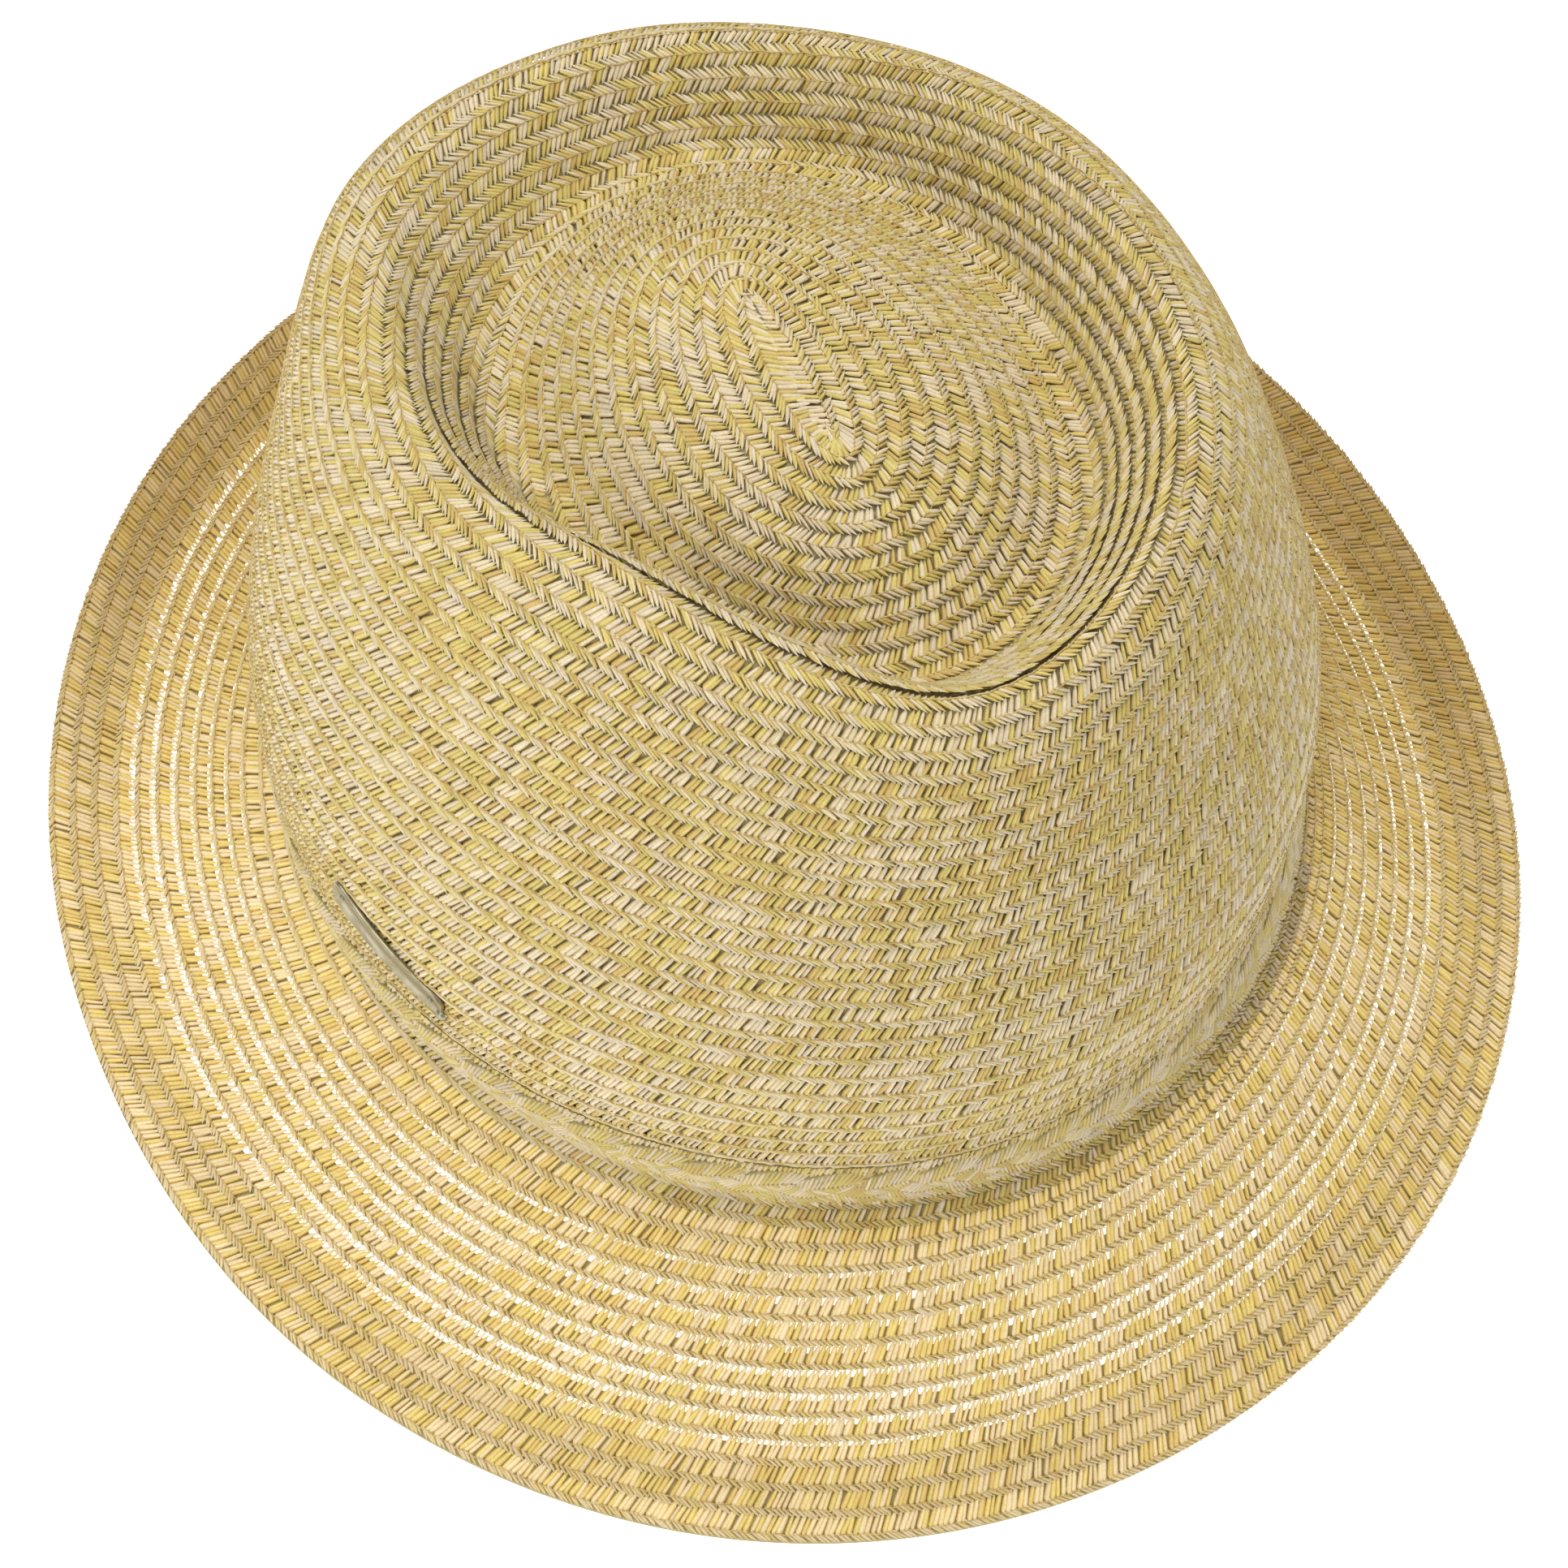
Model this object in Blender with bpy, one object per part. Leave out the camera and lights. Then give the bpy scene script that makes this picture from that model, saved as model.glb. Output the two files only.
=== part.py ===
"""A straw trilby: crown, brim, doubled brim edge, plaited band and a metal side plate.

Metres, +Z up, the hat's front towards -Y, standing on its brim with the floor at z = 0.
"""
from collections import namedtuple

import bmesh
import bpy
import numpy as np

for old in list(bpy.data.objects):
    bpy.data.objects.remove(old)

MM = 0.001

# Head line, where crown and brim meet
HEAD_HALF_WIDTH = 87.5 * MM
HEAD_HALF_LENGTH = 94.0 * MM
HEAD_LIFT = 28.0 * MM          # middle of the head line above the floor
HEAD_TILT = 7.9 * MM           # how much higher than that its front is, and lower its back

# Crown
CROWN_HEIGHT = 112.0 * MM      # raised middle above the head line
SEAM_HALF_LENGTH = 14.0 * MM   # the straight seam that the spiral starts from
DOME_OUT = 0.26                # shoulder of the raised middle, as shares of half width and height
DOME_UP = 0.952
SLOPE_MIX = 0.47               # where the slope from groove to crest is steepest

# Brim
BRIM_WIDTH = 55.0 * MM         # along the straw, head line to edge
EDGE_LIFT = 3.0 * MM           # top of the brim's edge above the floor

# Straw
WALL = 1.6 * MM
GAP = 0.3 * MM                 # between pieces that meet

# Doubled rows under the brim's edge
HEM_SHARE = 0.22               # of the brim's width
HEM_WALL = 1.1 * MM
FOOT_WIDTH = 2.0 * MM          # flat ring that the hat stands on

# Plaited band
BAND_HEIGHT = 11.0 * MM
BAND_DEPTH = 2.4 * MM
BAND_RISE = 4.5 * MM           # its lower edge above the head line

# Side plate
PLATE_LENGTH = 27.0 * MM
PLATE_HEIGHT = 5.6 * MM
PLATE_DEPTH = 0.8 * MM
PLATE_RISE = 35.0 * MM         # its middle above the head line
PLATE_SLOPE = 3.0 * MM         # how much lower than that its front end is, and higher its back end
PLATE_TURN = 287.0             # degrees from the front, by the wearer's left

# Mesh steps
TURNS = 64
CROWN_STEPS = 3                # rings between two control points of the crown's profile
BRIM_RINGS = 7
PLATE_STEPS = 8
CURVE_STEPS = 12               # points between two control points of a profile

# Crown profile at each turn, in degrees from the front by the wearer's left. "out" columns are shares of
# HEAD_HALF_WIDTH, "up" columns are shares of CROWN_HEIGHT.
CrownRow = namedtuple(
    "CrownRow",
    "turn groove_out groove_up crest_out crest_up"
    " shoulder_out shoulder_up chest_out chest_up foot_out foot_up",
)
CROWN_ROWS = [
    CrownRow(0, 0.460, 0.866, 0.632, 1.000, 0.713, 0.955, 0.840, 0.679, 0.966, 0.321),
    CrownRow(30, 0.460, 0.857, 0.644, 1.018, 0.724, 0.973, 0.840, 0.679, 0.977, 0.321),
    CrownRow(60, 0.483, 0.839, 0.655, 1.036, 0.736, 0.982, 0.862, 0.696, 0.989, 0.321),
    CrownRow(90, 0.506, 0.821, 0.663, 1.006, 0.743, 0.952, 0.895, 0.679, 1.003, 0.321),
    CrownRow(120, 0.560, 0.795, 0.719, 0.954, 0.800, 0.910, 0.929, 0.643, 1.006, 0.313),
    CrownRow(150, 0.630, 0.777, 0.788, 0.906, 0.869, 0.862, 0.952, 0.589, 1.006, 0.286),
    CrownRow(180, 0.630, 0.777, 0.845, 0.895, 0.936, 0.850, 0.991, 0.571, 1.006, 0.277),
    CrownRow(210, 0.560, 0.795, 0.832, 0.912, 0.934, 0.867, 1.000, 0.589, 1.011, 0.286),
    CrownRow(240, 0.506, 0.813, 0.685, 0.954, 0.800, 0.910, 0.951, 0.625, 1.017, 0.313),
    CrownRow(270, 0.440, 0.839, 0.600, 1.040, 0.718, 0.990, 0.897, 0.696, 1.006, 0.321),
    CrownRow(300, 0.370, 0.862, 0.525, 1.098, 0.638, 1.048, 0.839, 0.732, 0.986, 0.330),
    CrownRow(330, 0.372, 0.866, 0.532, 1.058, 0.640, 1.015, 0.816, 0.714, 0.963, 0.321),
]

# Brim profile at each turn; the other side mirrors it. reach is a share of BRIM_WIDTH, "out" columns are
# shares of that reach, and "up" columns are shares of the head line's height above the edge there.
BrimRow = namedtuple("BrimRow", "turn reach near_out near_up middle_out middle_up far_out far_up")
BRIM_ROWS = [
    BrimRow(0, 0.828, 0.270, 0.788, 0.510, 0.521, 0.744, 0.239),
    BrimRow(30, 0.828, 0.260, 0.768, 0.497, 0.492, 0.733, 0.219),
    BrimRow(60, 0.811, 0.232, 0.692, 0.463, 0.395, 0.716, 0.157),
    BrimRow(90, 0.789, 0.202, 0.589, 0.441, 0.268, 0.708, 0.075),
    BrimRow(120, 0.828, 0.200, 0.542, 0.441, 0.194, 0.712, 0.035),
    BrimRow(150, 0.884, 0.203, 0.478, 0.449, 0.120, 0.719, 0.020),
    BrimRow(180, 0.929, 0.200, 0.432, 0.448, 0.090, 0.723, 0.020),
]
BRIM_ROWS += [row._replace(turn=360 - row.turn) for row in reversed(BRIM_ROWS[1:-1])]


def around(rows, column, turns):
    """A table's column at any turns, by a smooth closed curve through its rows."""
    knots = np.array([row.turn for row in rows], float)
    values = np.array([getattr(row, column) for row in rows], float)
    knots = np.concatenate([knots[-2:] - 360, knots, knots[:2] + 360])
    values = np.concatenate([values[-2:], values, values[:2]])
    slopes = (values[2:] - values[:-2]) / (knots[2:] - knots[:-2])
    knots, values = knots[1:-1], values[1:-1]
    turns = np.mod(turns, 360.0)
    i = np.clip(np.searchsorted(knots, turns, side="right") - 1, 0, len(knots) - 2)
    span = knots[i + 1] - knots[i]
    t = (turns - knots[i]) / span
    start = (1 + 2 * t) * (1 - t) ** 2 * values[i] + t * (1 - t) ** 2 * span * slopes[i]
    end = t**2 * (3 - 2 * t) * values[i + 1] - t**2 * (1 - t) * span * slopes[i + 1]
    return start + end


def head_height(turns):
    """Height of the head line above the floor."""
    return HEAD_LIFT + HEAD_TILT * np.cos(np.radians(turns))


def controls(turns):
    """Control points of the profile at each turn: (out, up) pairs, measured from the head line's height."""
    one = np.ones_like(turns)
    crown = {c: around(CROWN_ROWS, c, turns) for c in CrownRow._fields[1:]}
    points = [(0 * one, one), (DOME_OUT * one, DOME_UP * one), (crown["groove_out"], crown["groove_up"])]
    mix = [(1 - SLOPE_MIX) * crown["groove_" + k] + SLOPE_MIX * crown["crest_" + k] for k in ("out", "up")]
    points.append(tuple(mix))
    for name in ("crest", "shoulder", "chest", "foot"):
        points.append((crown[name + "_out"], crown[name + "_up"]))
    points = [(out * HEAD_HALF_WIDTH, up * CROWN_HEIGHT) for out, up in points]
    points.append((HEAD_HALF_WIDTH * one, 0 * one))
    reach = around(BRIM_ROWS, "reach", turns) * BRIM_WIDTH
    drop = head_height(turns) - EDGE_LIFT
    for name in ("near", "middle", "far"):
        out, up = around(BRIM_ROWS, name + "_out", turns), around(BRIM_ROWS, name + "_up", turns)
        points.append((HEAD_HALF_WIDTH + out * reach, (up - 1) * drop))
    points.append((HEAD_HALF_WIDTH + reach, -drop))
    return np.array(points)


CROWN_POINTS = 8               # control points from the middle to the head line


def smooth(points):
    """A rounded line through the control points at each turn (centripetal Catmull-Rom)."""
    first = points[1] * np.array([-1, 1])[:, None]
    points = np.concatenate([first[None], points, (2 * points[-1] - points[-2])[None]])
    line = []
    for i in range(1, len(points) - 2):
        p = points[i - 1:i + 3]
        steps = [np.sqrt(np.maximum(np.hypot(*(p[j + 1] - p[j])), 1e-9)) for j in range(3)]
        t0, t1 = 0, steps[0]
        t2 = t1 + steps[1]
        t3 = t2 + steps[2]
        for t in (t1 + steps[1] * k / CURVE_STEPS for k in range(CURVE_STEPS)):
            a1 = ((t1 - t) * p[0] + (t - t0) * p[1]) / (t1 - t0)
            a2 = ((t2 - t) * p[1] + (t - t1) * p[2]) / (t2 - t1)
            a3 = ((t3 - t) * p[2] + (t - t2) * p[3]) / (t3 - t2)
            b1 = ((t2 - t) * a1 + (t - t0) * a2) / (t2 - t0)
            b2 = ((t3 - t) * a2 + (t - t1) * a3) / (t3 - t1)
            line.append(((t2 - t) * b1 + (t - t1) * b2) / (t2 - t1))
    line.append(points[-2])
    return np.array(line)


def place(line, turns):
    """Points of the profiles in space: ovals that are longer than wide by the spiral's straight seam."""
    out, up = line[:, 0], line[:, 1]
    side, front = np.sin(np.radians(turns)), np.cos(np.radians(turns))
    inside = np.minimum(out, HEAD_HALF_WIDTH)
    beyond = out - inside
    head_longer = HEAD_HALF_LENGTH - HEAD_HALF_WIDTH
    longer = SEAM_HALF_LENGTH + (head_longer - SEAM_HALF_LENGTH) * inside / HEAD_HALF_WIDTH
    across, along = side / HEAD_HALF_WIDTH, front / HEAD_HALF_LENGTH
    length = np.hypot(across, along)
    x = inside * side + beyond * across / length
    y = (inside + longer) * front + beyond * along / length
    tilt = HEAD_TILT * np.where(out < HEAD_HALF_WIDTH, y / HEAD_HALF_LENGTH, front)
    return np.stack([x, -y, HEAD_LIFT + tilt + up], axis=-1)


def edge_reach(turn):
    """How far the brim's edge lies from the middle at the front or back."""
    return abs(place(smooth(controls(np.array([float(turn)]))), np.array([float(turn)]))[-1, 0, 1])


MIDDLE_Y = (edge_reach(180) - edge_reach(0)) / 2


class Straw:
    """The hat's top surface at a set of turns, addressed by distance along the straw from the head line."""

    def __init__(self, turns):
        self.turns = np.asarray(turns, float)
        self.grid = self.surface(self.turns)
        step = 0.5
        ahead, behind = self.surface(self.turns + step), self.surface(self.turns - step)
        normals = np.cross(np.gradient(self.grid, axis=0), ahead - behind)
        lengths = np.linalg.norm(normals, axis=2, keepdims=True)
        self.normals = normals / np.maximum(lengths, 1e-12)
        self.normals[0] = (0, 0, 1)
        along = np.linalg.norm(np.diff(self.grid, axis=0), axis=2)
        self.distance = np.vstack([np.zeros(len(self.turns)), np.cumsum(along, axis=0)])
        self.distance -= self.distance[CROWN_POINTS * CURVE_STEPS]

    @staticmethod
    def surface(turns):
        grid = place(smooth(controls(turns)), turns)
        grid[..., 1] -= MIDDLE_Y
        return grid

    def ring(self, distance, depth=0.0):
        """One point at each turn, at a distance along the straw (a number or one for each turn), moved
        along the surface's normal by depth."""
        distance = np.broadcast_to(distance, self.turns.shape)
        points = []
        for j, d in enumerate(distance):
            spot = [np.interp(d, self.distance[:, j], self.grid[:, j, k]) for k in range(3)]
            normal = np.array([np.interp(d, self.distance[:, j], self.normals[:, j, k]) for k in range(3)])
            points.append(np.array(spot) + depth * normal / np.linalg.norm(normal))
        return np.array(points)


def material(name, colour, roughness, metallic=0.0):
    """A plain finish."""
    mat = bpy.data.materials.new(name)
    mat.use_nodes = True
    shader = mat.node_tree.nodes["Principled BSDF"]
    shader.inputs["Base Color"].default_value = (*colour, 1)
    shader.inputs["Roughness"].default_value = roughness
    shader.inputs["Metallic"].default_value = metallic
    return mat


def loft(name, sections, mat, close_sections=False, close_rows=True):
    """A mesh through sections of equal length, which are unlike each other, as a node of its own.

    close_sections joins the last section to the first, close_rows joins each section's end to its start.
    """
    bm = bmesh.new()
    rows = [[bm.verts.new(point) for point in section] for section in sections]
    pairs = list(zip(rows, rows[1:])) + ([(rows[-1], rows[0])] if close_sections else [])
    for low, high in pairs:
        count = len(low)
        for j in range(count if close_rows else count - 1):
            bm.faces.new((low[j], low[(j + 1) % count], high[(j + 1) % count], high[j]))
    return finish(name, bm, mat)


def finish(name, bm, mat):
    """Turns a bmesh into an object with outward faces, in a collection of its own name."""
    bmesh.ops.remove_doubles(bm, verts=bm.verts, dist=0.00001)
    bmesh.ops.recalc_face_normals(bm, faces=bm.faces)
    mesh = bpy.data.meshes.new(name)
    bm.to_mesh(mesh)
    bm.free()
    mesh.materials.append(mat)
    obj = bpy.data.objects.new(name, mesh)
    group = bpy.data.collections.new(name)
    bpy.context.scene.collection.children.link(group)
    group.objects.link(obj)
    return obj


def sheet(name, straw, distances, mat):
    """A straw wall whose top surface passes through rings at these distances."""
    tops = [straw.ring(d) for d in distances]
    unders = [straw.ring(d, -WALL) for d in distances]
    return loft(name, tops + unders[::-1], mat, close_sections=True)


def build_crown(straw, mat):
    """The crown's wall: rings that keep to the folds down to its foot, then close ones in the bend at the
    head line."""
    foot = (CROWN_POINTS - 1) * CURVE_STEPS
    distances = [straw.distance[k] for k in range(0, foot + 1, CURVE_STEPS // CROWN_STEPS)]
    middle = BAND_RISE + BAND_HEIGHT / 2
    distances += [-2 * middle, -middle, -BAND_RISE, -BAND_RISE / 2, -GAP / 2]
    tops = [straw.ring(d) for d in distances]
    unders = [straw.ring(d, -WALL) for d in distances]
    return loft("crown", unders + tops[::-1], mat)


def build_brim(straw, mat):
    end = straw.distance[-1]
    shares = np.linspace(0, 1, BRIM_RINGS + 1)
    return sheet("brim", straw, [GAP / 2 + (end - GAP / 2) * t for t in shares], mat)


def build_hem(straw, mat):
    """Doubled rows under the edge, with a flat foot on the floor."""
    end = straw.distance[-1]
    inner = end * (1 - HEM_SHARE)
    under = -(WALL + GAP)
    top_inner, top_middle, top_outer = (straw.ring(d, under) for d in (inner, (inner + end) / 2, end))
    low_inner = straw.ring(inner, under - HEM_WALL)
    foot_outer = top_outer * np.array([1, 1, 0])
    inward = (low_inner - top_outer) * np.array([1, 1, 0])
    inward /= np.linalg.norm(inward, axis=1, keepdims=True)
    foot_inner = foot_outer + inward * FOOT_WIDTH
    low_inner[:, 2] = np.maximum(low_inner[:, 2], 0)
    sections = [top_inner, top_middle, top_outer, foot_outer, foot_inner, low_inner]
    return loft("brim_hem", sections, mat, close_sections=True)


def build_band(straw, mat):
    """The plait as a rounded ring, seated on the crown's wall."""
    low, high = -BAND_RISE, -(BAND_RISE + BAND_HEIGHT)
    sections = [straw.ring(low + (high - low) * t, GAP) for t in (0, 0.5, 1)]
    for t, fullness in ((0.94, 0.6), (0.7, 1), (0.5, 0.9), (0.3, 1), (0.06, 0.6)):
        sections.append(straw.ring(low + (high - low) * t, GAP + BAND_DEPTH * fullness))
    return loft("plait_band", sections, mat, close_sections=True)


def build_plate(mat):
    """A thin plate with round ends, bent to the crown's wall."""
    half_turn = np.degrees(PLATE_LENGTH / 2 / HEAD_HALF_LENGTH)
    shares = np.sin(np.linspace(-np.pi / 2, np.pi / 2, PLATE_STEPS + 1))
    straw = Straw(PLATE_TURN + half_turn * shares)
    from_end = PLATE_LENGTH / 2 * (1 - np.abs(shares))
    radius = PLATE_HEIGHT / 2
    half = np.sqrt(np.maximum(radius**2 - np.maximum(radius - from_end, 0) ** 2, (0.12 * radius) ** 2))
    corners = [(-1, 0), (-1, 1), (1, 1), (1, 0)]
    middles = -PLATE_RISE + PLATE_SLOPE * shares
    sections = [straw.ring(middles + sign * half, GAP + PLATE_DEPTH * out) for sign, out in corners]
    bm = bmesh.new()
    rows = [[bm.verts.new(corner[j]) for corner in sections] for j in range(len(shares))]
    for near, far in zip(rows, rows[1:]):
        for j in range(4):
            bm.faces.new((near[j], near[(j + 1) % 4], far[(j + 1) % 4], far[j]))
    bm.faces.new(rows[0])
    bm.faces.new(rows[-1])
    return finish("side_plate", bm, mat)


def main():
    crown_straw = material("crown_straw", (0.66, 0.56, 0.33), 0.75)
    brim_straw = material("brim_straw", (0.70, 0.56, 0.25), 0.7)
    hem_straw = material("hem_straw", (0.55, 0.44, 0.2), 0.75)
    plait_straw = material("plait_straw", (0.62, 0.52, 0.3), 0.75)
    plate_metal = material("plate_metal", (0.52, 0.49, 0.38), 0.35, 1.0)
    straw = Straw(np.arange(TURNS) * 360.0 / TURNS)
    build_crown(straw, crown_straw)
    build_brim(straw, brim_straw)
    build_hem(straw, hem_straw)
    build_band(straw, plait_straw)
    build_plate(plate_metal)


main()
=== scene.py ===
"""Looks of a straw trilby: sewn braid row by row, a plaited band, a doubled edge and a metal plate."""
import math
from collections import namedtuple

import bmesh
import bpy
import numpy as np
from mathutils import Matrix, Vector


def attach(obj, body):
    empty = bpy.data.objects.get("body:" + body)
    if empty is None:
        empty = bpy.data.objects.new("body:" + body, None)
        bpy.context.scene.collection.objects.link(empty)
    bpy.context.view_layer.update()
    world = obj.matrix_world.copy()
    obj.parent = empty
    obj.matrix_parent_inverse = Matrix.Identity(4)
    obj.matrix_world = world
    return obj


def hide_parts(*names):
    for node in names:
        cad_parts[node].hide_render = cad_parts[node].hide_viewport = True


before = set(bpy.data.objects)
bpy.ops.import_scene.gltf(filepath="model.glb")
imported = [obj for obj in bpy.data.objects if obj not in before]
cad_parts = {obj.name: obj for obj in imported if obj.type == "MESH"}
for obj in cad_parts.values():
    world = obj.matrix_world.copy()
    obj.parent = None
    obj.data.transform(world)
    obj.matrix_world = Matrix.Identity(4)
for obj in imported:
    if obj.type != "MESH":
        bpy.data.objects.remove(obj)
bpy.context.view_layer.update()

MM = 0.001
RANDOM = np.random.default_rng(31)

# The hat's shape, as in its solids

HEAD_HALF_WIDTH = 87.5 * MM
HEAD_HALF_LENGTH = 94.0 * MM
HEAD_LIFT = 28.0 * MM
HEAD_TILT = 7.9 * MM
CROWN_HEIGHT = 112.0 * MM
SEAM_HALF_LENGTH = 14.0 * MM
DOME_OUT = 0.26
DOME_UP = 0.952
SLOPE_MIX = 0.47
BRIM_WIDTH = 55.0 * MM
EDGE_LIFT = 3.0 * MM
WALL = 1.6 * MM
GAP = 0.3 * MM
HEM_SHARE = 0.22
HEM_WALL = 1.1 * MM
FOOT_WIDTH = 2.0 * MM
BAND_HEIGHT = 11.0 * MM
BAND_RISE = 4.5 * MM
PLATE_LENGTH = 27.0 * MM
PLATE_HEIGHT = 5.6 * MM
PLATE_DEPTH = 0.8 * MM
PLATE_RISE = 35.0 * MM
PLATE_SLOPE = 3.0 * MM
PLATE_TURN = 287.0
CURVE_STEPS = 12
CROWN_POINTS = 8

CrownRow = namedtuple(
    "CrownRow",
    "turn groove_out groove_up crest_out crest_up"
    " shoulder_out shoulder_up chest_out chest_up foot_out foot_up",
)
CROWN_ROWS = [
    CrownRow(0, 0.460, 0.866, 0.632, 1.000, 0.713, 0.955, 0.840, 0.679, 0.966, 0.321),
    CrownRow(30, 0.460, 0.857, 0.644, 1.018, 0.724, 0.973, 0.840, 0.679, 0.977, 0.321),
    CrownRow(60, 0.483, 0.839, 0.655, 1.036, 0.736, 0.982, 0.862, 0.696, 0.989, 0.321),
    CrownRow(90, 0.506, 0.821, 0.663, 1.006, 0.743, 0.952, 0.895, 0.679, 1.003, 0.321),
    CrownRow(120, 0.560, 0.795, 0.719, 0.954, 0.800, 0.910, 0.929, 0.643, 1.006, 0.313),
    CrownRow(150, 0.630, 0.777, 0.788, 0.906, 0.869, 0.862, 0.952, 0.589, 1.006, 0.286),
    CrownRow(180, 0.630, 0.777, 0.845, 0.895, 0.936, 0.850, 0.991, 0.571, 1.006, 0.277),
    CrownRow(210, 0.560, 0.795, 0.832, 0.912, 0.934, 0.867, 1.000, 0.589, 1.011, 0.286),
    CrownRow(240, 0.506, 0.813, 0.685, 0.954, 0.800, 0.910, 0.951, 0.625, 1.017, 0.313),
    CrownRow(270, 0.440, 0.839, 0.600, 1.040, 0.718, 0.990, 0.897, 0.696, 1.006, 0.321),
    CrownRow(300, 0.370, 0.862, 0.525, 1.098, 0.638, 1.048, 0.839, 0.732, 0.986, 0.330),
    CrownRow(330, 0.372, 0.866, 0.532, 1.058, 0.640, 1.015, 0.816, 0.714, 0.963, 0.321),
]
BrimRow = namedtuple("BrimRow", "turn reach near_out near_up middle_out middle_up far_out far_up")
BRIM_ROWS = [
    BrimRow(0, 0.828, 0.270, 0.788, 0.510, 0.521, 0.744, 0.239),
    BrimRow(30, 0.828, 0.260, 0.768, 0.497, 0.492, 0.733, 0.219),
    BrimRow(60, 0.811, 0.232, 0.692, 0.463, 0.395, 0.716, 0.157),
    BrimRow(90, 0.789, 0.202, 0.589, 0.441, 0.268, 0.708, 0.075),
    BrimRow(120, 0.828, 0.200, 0.542, 0.441, 0.194, 0.712, 0.035),
    BrimRow(150, 0.884, 0.203, 0.478, 0.449, 0.120, 0.719, 0.020),
    BrimRow(180, 0.929, 0.200, 0.432, 0.448, 0.090, 0.723, 0.020),
]
BRIM_ROWS += [row._replace(turn=360 - row.turn) for row in reversed(BRIM_ROWS[1:-1])]


def around(rows, column, turns):
    """A table's column at any turns, by a smooth closed curve through its rows."""
    knots = np.array([row.turn for row in rows], float)
    values = np.array([getattr(row, column) for row in rows], float)
    knots = np.concatenate([knots[-2:] - 360, knots, knots[:2] + 360])
    values = np.concatenate([values[-2:], values, values[:2]])
    slopes = (values[2:] - values[:-2]) / (knots[2:] - knots[:-2])
    knots, values = knots[1:-1], values[1:-1]
    turns = np.mod(turns, 360.0)
    i = np.clip(np.searchsorted(knots, turns, side="right") - 1, 0, len(knots) - 2)
    span = knots[i + 1] - knots[i]
    t = (turns - knots[i]) / span
    start = (1 + 2 * t) * (1 - t) ** 2 * values[i] + t * (1 - t) ** 2 * span * slopes[i]
    end = t**2 * (3 - 2 * t) * values[i + 1] - t**2 * (1 - t) * span * slopes[i + 1]
    return start + end


def head_height(turns):
    """Height of the head line above the floor."""
    return HEAD_LIFT + HEAD_TILT * np.cos(np.radians(turns))


def controls(turns):
    """Control points of the profile at each turn: (out, up) pairs, measured from the head line's height."""
    one = np.ones_like(turns)
    crown = {c: around(CROWN_ROWS, c, turns) for c in CrownRow._fields[1:]}
    points = [(0 * one, one), (DOME_OUT * one, DOME_UP * one), (crown["groove_out"], crown["groove_up"])]
    mix = [(1 - SLOPE_MIX) * crown["groove_" + k] + SLOPE_MIX * crown["crest_" + k] for k in ("out", "up")]
    points.append(tuple(mix))
    for name in ("crest", "shoulder", "chest", "foot"):
        points.append((crown[name + "_out"], crown[name + "_up"]))
    points = [(out * HEAD_HALF_WIDTH, up * CROWN_HEIGHT) for out, up in points]
    points.append((HEAD_HALF_WIDTH * one, 0 * one))
    reach = around(BRIM_ROWS, "reach", turns) * BRIM_WIDTH
    drop = head_height(turns) - EDGE_LIFT
    for name in ("near", "middle", "far"):
        out, up = around(BRIM_ROWS, name + "_out", turns), around(BRIM_ROWS, name + "_up", turns)
        points.append((HEAD_HALF_WIDTH + out * reach, (up - 1) * drop))
    points.append((HEAD_HALF_WIDTH + reach, -drop))
    return np.array(points)


def smooth(points):
    """A rounded line through the control points at each turn (centripetal Catmull-Rom)."""
    first = points[1] * np.array([-1, 1])[:, None]
    points = np.concatenate([first[None], points, (2 * points[-1] - points[-2])[None]])
    line = []
    for i in range(1, len(points) - 2):
        p = points[i - 1:i + 3]
        steps = [np.sqrt(np.maximum(np.hypot(*(p[j + 1] - p[j])), 1e-9)) for j in range(3)]
        t0, t1 = 0, steps[0]
        t2 = t1 + steps[1]
        t3 = t2 + steps[2]
        for t in (t1 + steps[1] * k / CURVE_STEPS for k in range(CURVE_STEPS)):
            a1 = ((t1 - t) * p[0] + (t - t0) * p[1]) / (t1 - t0)
            a2 = ((t2 - t) * p[1] + (t - t1) * p[2]) / (t2 - t1)
            a3 = ((t3 - t) * p[2] + (t - t2) * p[3]) / (t3 - t2)
            b1 = ((t2 - t) * a1 + (t - t0) * a2) / (t2 - t0)
            b2 = ((t3 - t) * a2 + (t - t1) * a3) / (t3 - t1)
            line.append(((t2 - t) * b1 + (t - t1) * b2) / (t2 - t1))
    line.append(points[-2])
    return np.array(line)


def place(line, turns):
    """Points of the profiles in space: ovals that are longer than wide by the spiral's straight seam."""
    out, up = line[:, 0], line[:, 1]
    side, front = np.sin(np.radians(turns)), np.cos(np.radians(turns))
    inside = np.minimum(out, HEAD_HALF_WIDTH)
    beyond = out - inside
    head_longer = HEAD_HALF_LENGTH - HEAD_HALF_WIDTH
    longer = SEAM_HALF_LENGTH + (head_longer - SEAM_HALF_LENGTH) * inside / HEAD_HALF_WIDTH
    across, along = side / HEAD_HALF_WIDTH, front / HEAD_HALF_LENGTH
    length = np.hypot(across, along)
    x = inside * side + beyond * across / length
    y = (inside + longer) * front + beyond * along / length
    tilt = HEAD_TILT * np.where(out < HEAD_HALF_WIDTH, y / HEAD_HALF_LENGTH, front)
    return np.stack([x, -y, HEAD_LIFT + tilt + up], axis=-1)


def edge_reach(turn):
    """How far the brim's edge lies from the middle at the front or back."""
    return abs(place(smooth(controls(np.array([float(turn)]))), np.array([float(turn)]))[-1, 0, 1])


MIDDLE_Y = (edge_reach(180) - edge_reach(0)) / 2

# The braid's rows on that shape

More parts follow.
